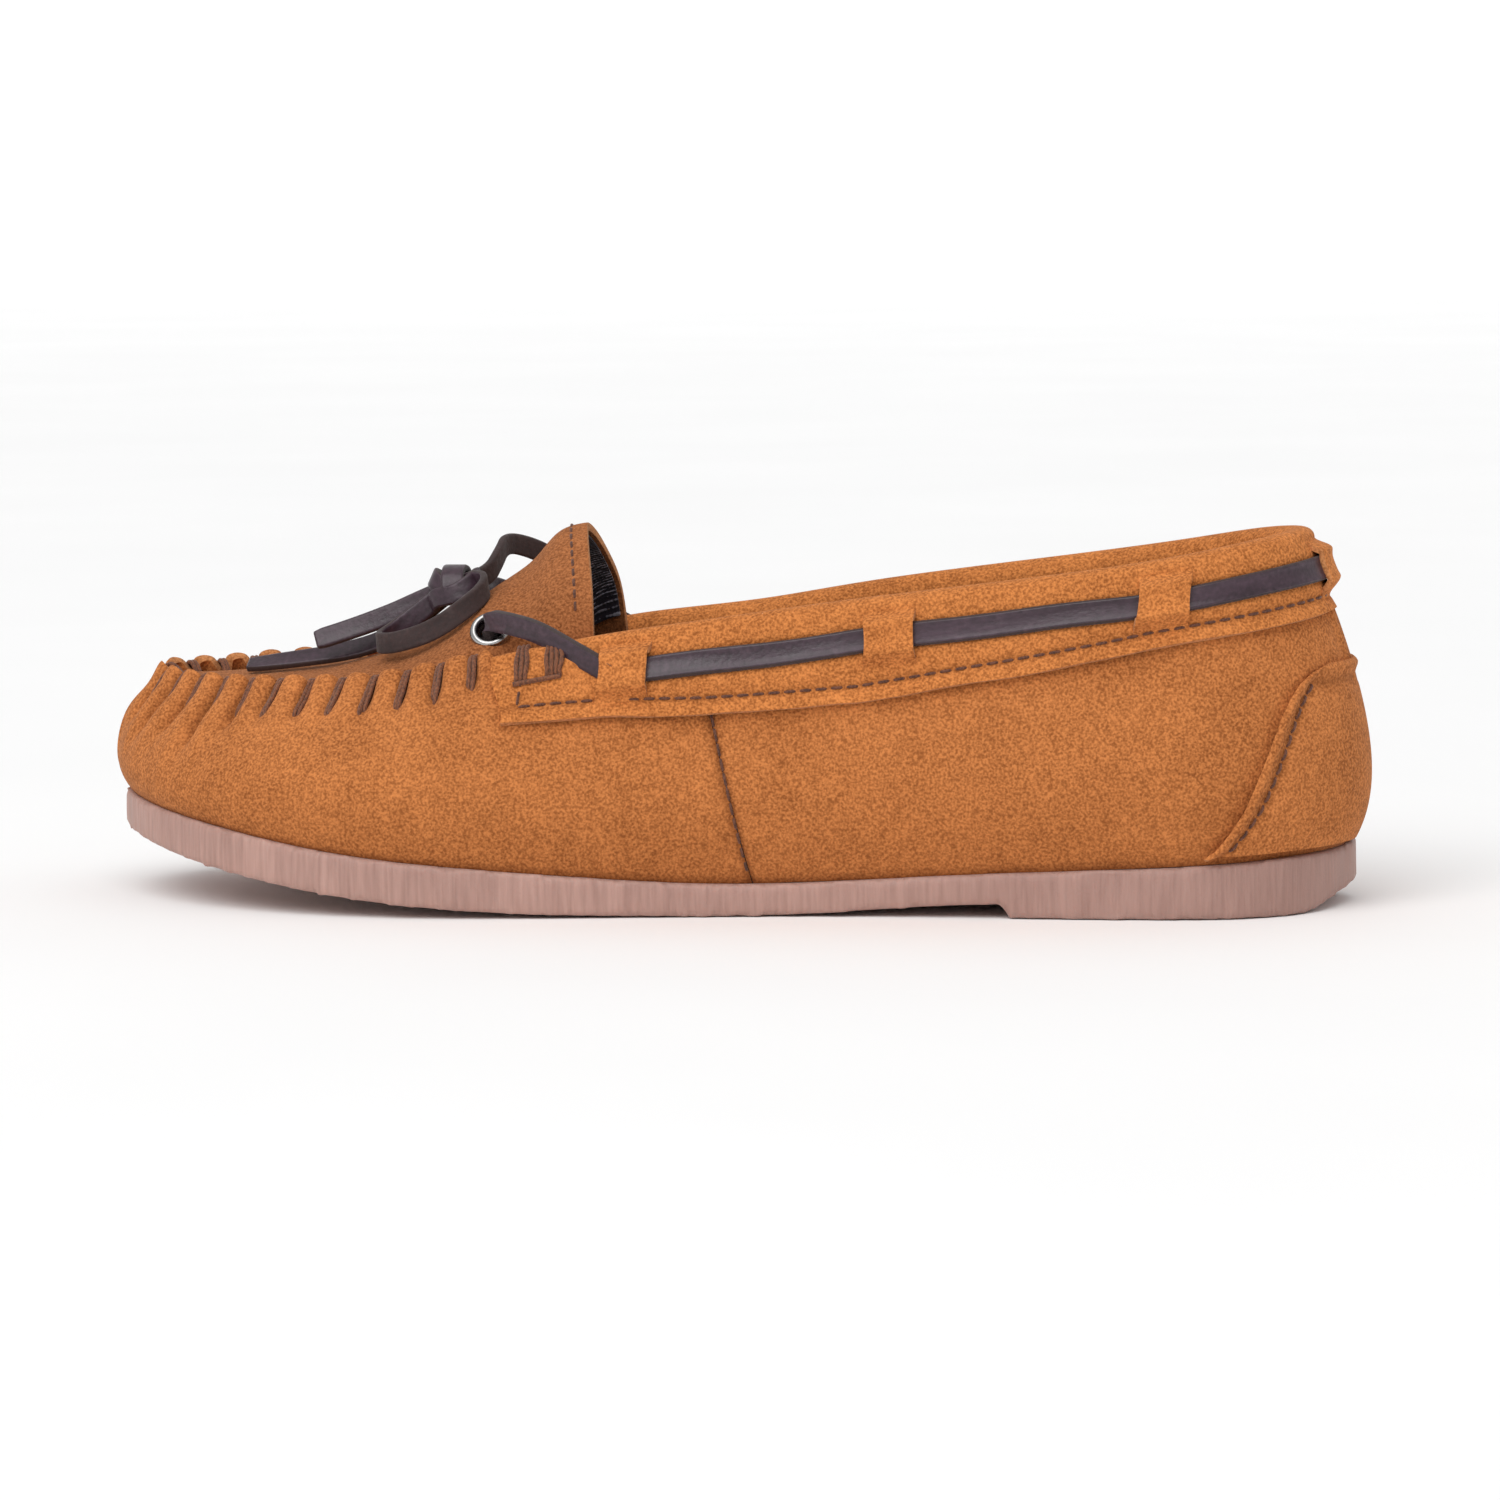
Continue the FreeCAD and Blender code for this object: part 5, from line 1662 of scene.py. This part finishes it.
        # the apron's finish is painted darker for the shade that the bow casts over it
        cut = Cut(190, 110, self.last.leather, 0.118, 0.075, made.apron, made.apron,
                  made.cut_edge)
        piece = lay_sheet("apron_leather", cut, self.leather_place, self.leather_shade)
        self.punch(piece)
        smooth_by_angle(piece, 60)
        hand_over(piece, "suede", "apron_plug")
        cut = Cut(120, 80, self.last.lining * 0.7, 0.062, 0.062, made.tongue_cloth,
                  made.tongue_cloth, made.tongue_cloth, 0.0)
        lining = lay_sheet("tongue_cloth_lining", cut, self.lining_place)
        hand_over(lining, "plaid_lining", "tongue_lining")
        for side in Side:
            hand_over(self.make_eyelet(side), "nickel", f"eyelet_{side.word}")


# ---------------------------------------------------------------- lace and bow

# The bow's routes from the knot's centre, in millimetres.
BOW = {
    "bow_loop_near": ((-2.2, -1.2, -0.6), (-7.6, -2.1, -5.0), (-12.0, -3.7, -8.4),
                      (-14.2, -6.9, -9.8), (-13.8, -11.0, -10.2), (-9.4, -13.4, -9.8),
                      (-1.6, -14.9, -7.2), (4.8, -12.9, -2.6), (7.8, -8.3, 0.6),
                      (6.0, -3.8, 2.4), (1.6, -1.6, 1.2)),
    "bow_loop_far": ((2.2, 1.4, 1.3), (5.2, 4.8, 2.0), (6.6, 9.2, 5.6), (7.0, 14.2, 8.4),
                     (11.4, 19.4, 6.8), (15.4, 24.2, 3.8), (14.0, 28.0, -2.2),
                     (8.4, 26.8, -4.2), (3.6, 20.0, -1.2), (2.0, 12.0, -0.2),
                     (0.8, 7.0, -0.2), (-0.9, 1.4, -1.0)),
    "bow_tail_upper": ((0.9, 0.7, 1.0), (-7.8, 0.9, -2.6), (-14.4, 0.6, -5.6),
                       (-21.6, 0.1, -8.2), (-29.2, -0.7, -10.6)),
    "bow_tail_lower": ((-1.0, 1.2, 0.0), (-7.2, 3.3, -5.0), (-12.8, 4.3, -9.2),
                       (-19.8, 4.1, -12.2), (-29.0, 4.3, -14.2), (-44.8, 5.3, -16.2)),
}


@dataclass(frozen=True)
class Cord:
    """Facts of one of the bow's cords."""

    length: float
    far_end: str
    grain: tuple[float, float, float]
    tilt: tuple[float, float]


CORDS = {
    "bow_loop_near": Cord(0.0576, "object", (0.3, -1.0, 0.2), (10.0, -12.0)),
    "bow_loop_far": Cord(0.0692, "object", (-1.0, -0.3, 0.0), (0.0, 12.0)),
    "bow_tail_upper": Cord(0.0323, "bare", (0.0, -1.0, 0.3), (8.0, 24.0)),
    "bow_tail_lower": Cord(0.0482, "bare", (0.0, -1.0, 0.4), (18.0, 62.0)),
}


@dataclass
class Lacing:
    """The lace's leads to the eyelets, the bow and its knot."""

    last: Last
    apron: Apron
    collar: Collar
    finishes: Finishes
    width: float = 4.2 * MM
    thick: float = 1.8 * MM

    def lead(self, side: Side) -> bpy.types.Object:
        """The lace between the collar's first loop and the side's eyelet."""
        flip = side.value
        reach = self.collar.loop_stations[0] + 0.12
        drop = np.array([self.collar.lace_drop])
        start = self.collar.on_band(np.array([flip * reach]), drop, 0.8 * MM)[0]
        along, across = self.apron.spot(side)
        mouth = self.apron.place(along, across, -1.5 * MM)[0]
        above = self.apron.place(along, across, 2.4 * MM)[0]
        bends = [start + (above - start) * share + np.array([0.0, -flip * out, up]) * MM
                 for share, out, up in ((0.30, 1.7, 1.5), (0.58, 2.6, 2.5), (0.84, 2.0, 1.6))]
        line = Line(np.array([start, *bends, above, mouth]))
        outward = np.array([0.0, -flip, 0.25])
        piece = strap(f"lace_lead_strap_{side.word}", line, self.width, self.thick * 0.85,
                      self.finishes, lambda share, heading: np.tile([0.0, -0.25 * flip, 1.0],
                                                                    (len(share), 1)),
                      outward, lambda share: 1.0 - 0.32 * ease(0.78, 0.97, share))
        return hand_over(piece, "lace_leather", f"lace_lead_{side.word}")

    def bow_cord(self, name: str, centre: np.ndarray) -> bpy.types.Object:
        """One loop or tail of the bow."""
        facts = CORDS[name]
        points = read_spline(name, BOW[name], centre)
        line = Line(points)

        def upright(share: np.ndarray, heading: np.ndarray) -> np.ndarray:
            up = np.tile([0.0, 0.0, 1.0], (len(share), 1))
            side = unit(np.cross(heading, up))
            up = np.cross(side, heading)
            angle = np.radians(facts.tilt[0] + (facts.tilt[1] - facts.tilt[0]) * share)
            return up * np.cos(angle)[:, None] + side * np.sin(angle)[:, None]

        piece = strap(name + "_strap", line, self.width, self.thick * 0.8, self.finishes,
                      upright, np.array(facts.grain),
                      lambda share: 1.0 - 0.12 * ease(0.06, 0.0, np.minimum(share, 1 - share)))
        hand_over(piece, "lace_leather", name)
        return piece

    def knot(self, centre: np.ndarray) -> bpy.types.Object:
        """The knot: laces wound over and across each other round a filled middle."""
        windings = {
            "over": (((0.4, -4.3, -2.9), (0.2, -5.0, 0.2), (-0.2, -3.6, 3.0), (-0.4, 0.0, 4.1),
                      (-0.2, 3.6, 3.0), (0.2, 4.7, 0.0), (0.6, 4.0, -2.6)), (1.0, 0.10, 0.0), 4.6),
            "across": (((-4.6, -2.6, -3.2), (-3.2, -4.6, -1.6), (0.6, -5.6, -0.6),
                        (3.6, -4.4, 1.2), (4.6, -1.2, 2.4), (3.4, 2.0, 1.6)), (-0.35, 0.2, 1.0),
                       3.9),
            "under": (((4.6, -2.2, -3.0), (2.8, -4.2, -2.4), (-0.8, -4.6, -0.4),
                       (-3.6, -3.2, 1.6), (-4.6, 0.0, 2.2), (-3.6, 3.0, 0.8)), (0.45, 0.0, 1.0),
                      3.9),
        }
        parts = []
        for name, (route, wide, width) in windings.items():
            line = Line(centre + np.array(route) * MM)
            parts.append(strap("knot_" + name, line, width * MM, self.thick * 0.8, self.finishes,
                               lambda share, heading, wide=wide: np.tile(wide, (len(share), 1)),
                               np.array([0.0, -1.0, 0.1])))
        start_alone()
        bpy.ops.mesh.primitive_ico_sphere_add(subdivisions=4, radius=1.0)
        core = bpy.context.active_object
        ball = read_points(core.data)
        size = np.array([4.2, 3.6, 2.7]) * MM
        lumps = 1.0 + 0.08 * ripple(ball, 0.9, 3.0)[:, None]
        write_points(core.data, centre + ball * size * lumps)
        core.data.materials.append(self.finishes.flesh)
        pick(core)
        bpy.ops.object.transform_apply(location=True, rotation=True, scale=True)
        smooth_by_angle(core, 60)
        return hand_over(join_pieces("bow_knot_winding", parts + [core]), "lace_leather",
                         "bow_knot")

    def build(self) -> None:
        """Make the leads, the bow and the knot."""
        centre = np.mean([np.array(corner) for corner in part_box("bow_knot")], axis=0)
        for name in BOW:
            self.bow_cord(name, centre)
        self.knot(centre)
        for side in Side:
            self.lead(side)
            dress_node(f"lace_underpass_{side.word}", self.finishes.flesh)


# ---------------------------------------------------------------- stitching

@dataclass
class Stitching:
    """Gathering threads, stitch rows and bar tacks."""

    last: Last
    upper: Upper
    collar: Collar
    apron: Apron
    finishes: Finishes
    heavy: float = 0.46 * MM
    fine: float = 0.26 * MM
    pitch: float = 3.6 * MM

    def gathering(self) -> None:
        """Strands that pull the wall into pleats."""
        chance = np.random.default_rng(11)
        paths = []
        for index in range(self.upper.threads):
            station = self.upper.thread_station(index)
            speed = np.linalg.norm(np.diff(self.last.point(np.array([station - 0.01,
                                                                     station + 0.01]),
                                                           np.array([1.0, 1.0])), axis=0))
            for strand in (-1.0, 1.0):
                shift = (strand * 0.36 + chance.uniform(-0.10, 0.10)) * MM * 0.02 / speed
                foot = chance.uniform(4.4, 5.8) * MM
                drops = np.array([foot + 0.6 * MM, foot, foot * 0.55, 1.4 * MM, 0.35 * MM])
                outs = np.array([-0.9, 0.25, 0.75, 0.95, 0.95]) * MM
                lean = self.upper.lean(np.array([station]))
                stations = station + shift + lean * drops * 0.02 / speed
                depths = self.groove_depth(stations, drops)
                wall = self.last.wall(stations, self.last.share_at(stations, drops),
                                      outs + depths)
                crest = self.last.wall(np.array([station + shift]), np.array([1.0]),
                                       np.array([-0.3 * MM]))
                crest[:, 2] += 1.25 * MM
                inward = -self.last.facing(np.array([station]), np.array([1.0]))
                inward[:, 2] = 0.0
                inward = unit(inward)
                down = crest + inward * 1.5 * MM
                down[:, 2] -= 0.7 * MM
                end = crest + inward * 2.7 * MM
                end[:, 2] -= 2.4 * MM
                paths.append(np.vstack([wall, crest, down, end]))
        piece = draw_threads("gathering_threads", paths, self.heavy, self.finishes.heavy_thread)
        hand_over(piece, "thread", "apron_stitches")

    def groove_depth(self, station: np.ndarray, drop: np.ndarray) -> np.ndarray:
        """How deep the leather lies at a thread."""
        groove, puff, _ = self.upper.gather(station, drop)
        upper = self.upper
        lip = upper.lip * hump(drop, upper.lip_reach)
        return lip + upper.strength(station) * (upper.puff * puff - 0.75 * upper.groove * groove)

    def dashes(self, line: Callable[[np.ndarray, float], np.ndarray],
               pitch: float, fill: float = 0.72) -> list[np.ndarray]:
        """Stitches along a line.

        Args:
            line: Gives points for (share, height above the leather).
            pitch: From one stitch to the next.
            fill: Share of the pitch that shows as thread.

        Returns:
            Control points of each stitch.
        """
        shares = np.linspace(0.0, 1.0, 200)
        points = line(shares, 0.0)
        run = run_of(points)
        count = int(run[-1] / pitch)
        made = []
        for index in range(count):
            reach = (index + 0.5 + fill * np.array([-0.5, -0.42, 0.0, 0.42, 0.5])) / count
            share = np.interp(reach * run[-1], run, shares)
            lift = np.array([-0.45, 0.05, 0.24, 0.05, -0.45]) * MM
            made.append(np.vstack([line(share[i:i + 1], lift[i]) for i in range(5)]))
        return made

    def rows(self) -> None:
        """Fine stitch rows of the collar, seams, counter and tongue."""
        last = self.last
        front = last.collar_front - 0.1
        up = self.collar.seam_up

        def round_collar(share: np.ndarray, lift: float) -> np.ndarray:
            station = front * (2.0 * share - 1.0)
            return self.collar.on_band(station, last.collar_drop(station) - up, lift - 0.1 * MM)

        collar = self.dashes(round_collar, self.pitch * 0.85)
        seams: list[np.ndarray] = []
        counter: list[np.ndarray] = []
        for side in Side:
            def down_front(share: np.ndarray, lift: float, flip: float = side.value) -> np.ndarray:
                station = np.full_like(share, flip * front)
                low = last.collar_drop(station) - up
                return self.collar.on_band(station, low + (5.0 * MM - low) * share,
                                           lift - 0.1 * MM)

            def side_seam(share: np.ndarray, lift: float, flip: float = side.value) -> np.ndarray:
                part = 0.04 + share * 0.60
                station = flip * (seam_station(part) + 0.012)
                return last.wall(station, part, np.full_like(part, lift - 0.15 * MM))

            def counter_edge(share: np.ndarray, lift: float,
                             flip: float = side.value) -> np.ndarray:
                part = 0.05 + share * (self.upper.counter_top - 0.11)
                half = self.upper.counter_station(part)
                station = flip * (half - 0.115)
                return last.wall(station, part, np.full_like(part, 1.35 * MM + lift))

            collar += self.dashes(down_front, self.pitch * 0.8)
            seams += self.dashes(side_seam, self.pitch * 0.8)
            counter += self.dashes(counter_edge, self.pitch * 0.8)

        def tongue(share: np.ndarray, lift: float) -> np.ndarray:
            side = 1.76 * share - 0.88
            along = np.full_like(share, 0.966)
            return self.apron.leather_place(along, (side + 1.0) / 2.0, lift)

        tables = (("collar_stitch_row", "collar_stitches", collar),
                  ("side_seam_stitch_row", "side_seam_stitches", seams),
                  ("counter_stitch_row", "counter_stitches", counter),
                  ("tongue_stitch_row", "tongue_stitches",
                   self.dashes(tongue, self.pitch * 0.8)))
        for name, node, paths in tables:
            hand_over(draw_threads(name, paths, self.fine, self.finishes.thread), "thread", node)

    def tacks(self) -> None:
        """Heavy bars at the collar's front ends, joined by a low stitch."""
        last = self.last
        for side in Side:
            paths = []
            for first, bars in ((last.collar_front - 0.06, 3), (last.collar_front - 0.32, 4)):
                for bar in range(bars):
                    station = side.value * (first - bar * 0.040)
                    drops = np.array([0.6, 1.4, 4.0, 6.6, 7.2]) * MM
                    lift = np.array([-0.7, 0.25, 0.5, 0.3, -0.7]) * MM
                    wobble = side.value * 0.012 * np.array([0, 1, -1, 1, 0]) * (bar - 1)
                    stations = station + wobble
                    paths.append(np.vstack([
                        self.collar.on_band(stations[i:i + 1], drops[i:i + 1], lift[i])
                        for i in range(5)]))
            stations = side.value * (last.collar_front - np.array([0.04, 0.16, 0.30, 0.44]))
            paths.append(self.collar.on_band(stations, np.full(4, 7.2 * MM), 0.25 * MM))
            piece = draw_threads(f"bar_tack_threads_{side.word}", paths, self.heavy,
                                 self.finishes.heavy_thread)
            hand_over(piece, "thread", f"bar_tack_{side.word}")

    def build(self) -> None:
        """Make every thread."""
        self.gathering()
        self.rows()
        self.tacks()


# ---------------------------------------------------------------- sole and inside

@dataclass
class Bottom:
    """The crepe unit sole."""

    finishes: Finishes
    voxel: float = 0.85 * MM

    def build(self) -> None:
        """Copy the plain sole, give it a skin that can be worked, and crease it."""
        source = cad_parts["outsole"]
        start_alone()
        piece = source.copy()
        piece.data = source.data.copy()
        piece.name = "crepe_sole"
        piece.data.name = "crepe_sole"
        bpy.context.collection.objects.link(piece)
        piece.parent = None
        piece.matrix_world = Matrix.Identity(4)
        pick(piece)
        bpy.ops.object.mode_set(mode="EDIT")
        bpy.ops.mesh.select_all(action="SELECT")
        bpy.ops.mesh.remove_doubles(threshold=0.01 * MM)
        bpy.ops.object.mode_set(mode="OBJECT")
        apply_modifier(piece, "REMESH", mode="VOXEL", voxel_size=self.voxel, use_smooth_shade=True)
        apply_modifier(piece, "SMOOTH", factor=0.5, iterations=3)
        mesh = piece.data
        points = read_points(mesh)
        normals = read_normals(mesh)
        side = ease(0.75, 0.35, np.abs(normals[:, 2]))
        flat = points.copy()
        flat[:, 2] *= 0.12
        crease = 0.55 * ripple(flat, 3.1 * MM, 2.0) + 0.45 * ripple(flat, 1.9 * MM, 5.0)
        broad = ripple(flat, 15 * MM, 3.0)
        points = points + normals * (side * (0.13 * MM * crease + 0.22 * MM * broad))[:, None]
        under = ease(-0.05, -0.45, normals[:, 2]) * ease(-0.97, -0.75, normals[:, 2])
        ragged = 0.5 * ripple(flat, 2.2 * MM, 4.0) + 0.5 * ripple(flat, 4.6 * MM, 8.0)
        points[:, 2] += 0.45 * MM * under * ragged
        points[:, 2] = np.maximum(points[:, 2], 0.0)
        write_points(mesh, points)
        mesh.materials.clear()
        mesh.materials.append(self.finishes.crepe)
        pick(piece)
        bpy.ops.object.shade_smooth()
        hand_over(piece, "crepe", "outsole")


@dataclass
class Inside:
    """Linings, sock, cushion and board."""

    last: Last
    finishes: Finishes

    def puffed(self, station: np.ndarray, share: np.ndarray, depth: float, seed: float,
               across: np.ndarray) -> np.ndarray:
        """Points of a softly puffed lining.

        Args:
            station: Places round the shoe.
            share: 0 at the sole and 1 at the rim.
            depth: Distance in from the wall.
            seed: Shifts the puffs.
            across: 0 at the lining's foot and 1 at its top.

        Returns:
            Rows of three numbers.
        """
        plain = self.last.point(station, share)
        puff = 0.3 * MM * ripple(plain, 24 * MM, seed) * ease(0, 0.2, across)
        return self.last.wall(station, share, -depth - np.abs(puff))

    def quarter_place(self, along: np.ndarray, across: np.ndarray, out: float) -> np.ndarray:
        """The heel's lining, which faces into the shoe."""
        last = self.last
        station = seam_station(across) * (2.0 * along - 1.0)
        share = 0.03 + across * (last.panel_top(station) - 0.05)
        depth = last.leather + 2.0 * last.gap + 1.0 * MM + last.lining
        return self.puffed(station, share, depth + out, 4.0, across)

    def vamp_place(self, along: np.ndarray, across: np.ndarray, out: float) -> np.ndarray:
        """The vamp's lining, which faces into the shoe."""
        last = self.last
        station = 4.0 + along * (last.rounds - 8.0)
        share = 0.03 + across * (0.90 * last.panel_top(station) - 0.03)
        return self.puffed(station, share, last.leather + last.gap + last.lining + out, 6.0, across)

    def sock_place(self, along: np.ndarray, across: np.ndarray, out: float) -> np.ndarray:
        """The sock that the foot stands on, which follows the seat from heel to toe."""
        station = 0.45 + 9.1 * along
        outer = self.last.point(station, np.zeros_like(station))
        inner = self.last.point(self.last.rounds - station, np.zeros_like(station))
        middle = (outer + inner) / 2.0
        half = np.linalg.norm(outer - inner, axis=1) / 2.0
        kept = np.clip(1.0 - 5.8 * MM / np.maximum(half, 6.0 * MM), 0.2, 1.0)
        side = (2.0 * across - 1.0)[:, None] * kept[:, None]
        points = middle + (inner - outer) / 2.0 * side
        points[:, 0] *= 0.962
        hollow = 0.15 * MM * (1.0 - (2.0 * across - 1.0) ** 2)
        rough = 0.06 * MM * ripple(points, 14 * MM, 3.0)
        points[:, 2] = middle[:, 2] + 6.25 * MM - hollow + rough + out
        return points

    def build(self) -> None:
        """Make the linings and dress what the shoe hides."""
        made = self.finishes
        cut = Cut(240, 40, self.last.lining * 0.6, 0.210, 0.046, made.lining_cloth,
                  made.lining_cloth, made.lining_cloth, 0.0)
        back = hand_over(lay_sheet("quarter_cloth_lining", cut, self.quarter_place),
                         "plaid_lining", "quarter_lining")
        front = hand_over(lay_sheet("vamp_cloth_lining", cut, self.vamp_place), "plaid_lining",
                          "vamp_lining")
        cut = Cut(160, 40, 0.8 * MM, 0.236, 0.060, made.lining_cloth, made.lining_cloth,
                  made.lining_cloth, 0.2 * MM)
        hand_over(lay_sheet("sock_cloth", cut, self.sock_place), "plaid_lining", "sock_lining")
        dress_node("footbed_cushion", made.foam)
        dress_node("insole_board", made.board)
        dress_node("heel_stiffener", made.board)


# ---------------------------------------------------------------- studio

@dataclass
class Studio:
    """Floor, light and camera."""

    distance: float = 1.300
    yaw: float = 10.0
    height: float = 6.0
    roll: float = 0.5
    target: tuple[float, float, float] = (0.003, 0.0, 0.029)
    frame_width: float = 0.300

    def make_camera(self) -> None:
        """Set up the camera."""
        yaw, height, roll = (math.radians(value) for value in (self.yaw, self.height, self.roll))
        back = Vector((math.sin(yaw) * math.cos(height), -math.cos(yaw) * math.cos(height),
                       math.sin(height)))
        level = Vector((math.cos(yaw), math.sin(yaw), 0.0))
        rise = back.cross(level)
        right = level * math.cos(roll) - rise * math.sin(roll)
        up = rise * math.cos(roll) + level * math.sin(roll)
        spot = Vector(self.target) + back * self.distance
        data = bpy.data.cameras.new("camera")
        data.sensor_width = 36.0
        data.lens = 36.0 * self.distance / self.frame_width
        data.clip_start = 0.05
        data.clip_end = 20.0
        camera = bpy.data.objects.new("camera", data)
        bpy.context.collection.objects.link(camera)
        camera.matrix_world = Matrix((
            (right.x, up.x, back.x, spot.x), (right.y, up.y, back.y, spot.y),
            (right.z, up.z, back.z, spot.z), (0.0, 0.0, 0.0, 1.0)))
        bpy.context.scene.camera = camera

    def make_floor(self) -> None:
        """Lay a pale floor that sweeps up behind the shoe."""
        start_alone()
        bpy.ops.mesh.primitive_plane_add(size=8.0, location=(0.0, 0.0, -0.0002))
        floor = bpy.context.active_object
        floor.name = "floor"
        bpy.ops.object.transform_apply(location=True, rotation=False, scale=False)
        bpy.ops.object.mode_set(mode="EDIT")
        bpy.ops.mesh.select_all(action="DESELECT")
        bpy.ops.object.mode_set(mode="OBJECT")
        for edge in floor.data.edges:
            ends = [floor.data.vertices[index].co.y for index in edge.vertices]
            edge.select = min(ends) > 3.9
        bpy.ops.object.mode_set(mode="EDIT")
        bpy.ops.mesh.extrude_region_move(TRANSFORM_OT_translate={"value": (0.0, 0.8, 0.3)})
        bpy.ops.mesh.extrude_region_move(TRANSFORM_OT_translate={"value": (0.0, 0.3, 3.0)})
        bpy.ops.object.mode_set(mode="OBJECT")
        graph = Graph("pale_paper")
        tone = graph.ramp(graph.noise(6.0, 2.0), 0.3, 0.7)
        floor.data.materials.append(graph.dress({
            "Base Color": graph.blend(tone, (0.965, 0.965, 0.965, 1.0),
                                      (0.985, 0.985, 0.985, 1.0)),
            "Roughness": 0.9,
            "Specular IOR Level": 0.1,
        }))

    @staticmethod
    def add_light(name: str, kind: str, spot: tuple[float, float, float], aim: Vector,
                  **values: object) -> None:
        """Hang a light.

        Args:
            name: The light's name.
            kind: Blender's name of the light type.
            spot: Where it hangs.
            aim: Direction that it shines in.
            **values: The light's fields.
        """
        data = bpy.data.lights.new(name, kind)
        for field_name, value in values.items():
            setattr(data, field_name, value)
        light = bpy.data.objects.new(name, data)
        bpy.context.collection.objects.link(light)
        light.location = spot
        light.rotation_mode = "QUATERNION"
        light.rotation_quaternion = aim.to_track_quat("-Z", "Y")

    def build(self) -> None:
        """Set floor, light and camera."""
        self.make_floor()
        self.make_camera()
        self.add_light("soft_sun", "SUN", (0.0, 0.0, 0.0), Vector((0.12, 0.64, -0.86)),
                       energy=1.36, angle=math.radians(55.0))
        spot = (-0.5, -1.2, 0.9)
        self.add_light("gloss_light", "AREA", spot, Vector(self.target) - Vector(spot),
                       shape="SQUARE", size=0.7, energy=2.5)
        world = bpy.data.worlds.new("studio_air")
        world.use_nodes = True
        sky = world.node_tree.nodes["Background"]
        sky.inputs["Color"].default_value = (1.0, 1.0, 1.0, 1.0)
        sky.inputs["Strength"].default_value = 0.60
        bpy.context.scene.world = world
        bpy.context.scene.view_settings.view_transform = "Standard"


def main() -> None:
    """Build the shoe, piece by piece."""
    logging.basicConfig(level=logging.INFO, format="%(message)s")
    Studio().build()
    finishes = Finishes()
    last = Last()
    apron = Apron(last, finishes)
    collar = Collar(last, finishes)
    Lacing(last, apron, collar, finishes).build()
    upper = Upper(last, finishes)
    upper.build()
    collar.build()
    apron.build()
    Stitching(last, upper, collar, apron, finishes).build()
    Bottom(finishes).build()
    Inside(last, finishes).build()


if __name__ == "__main__":
    main()
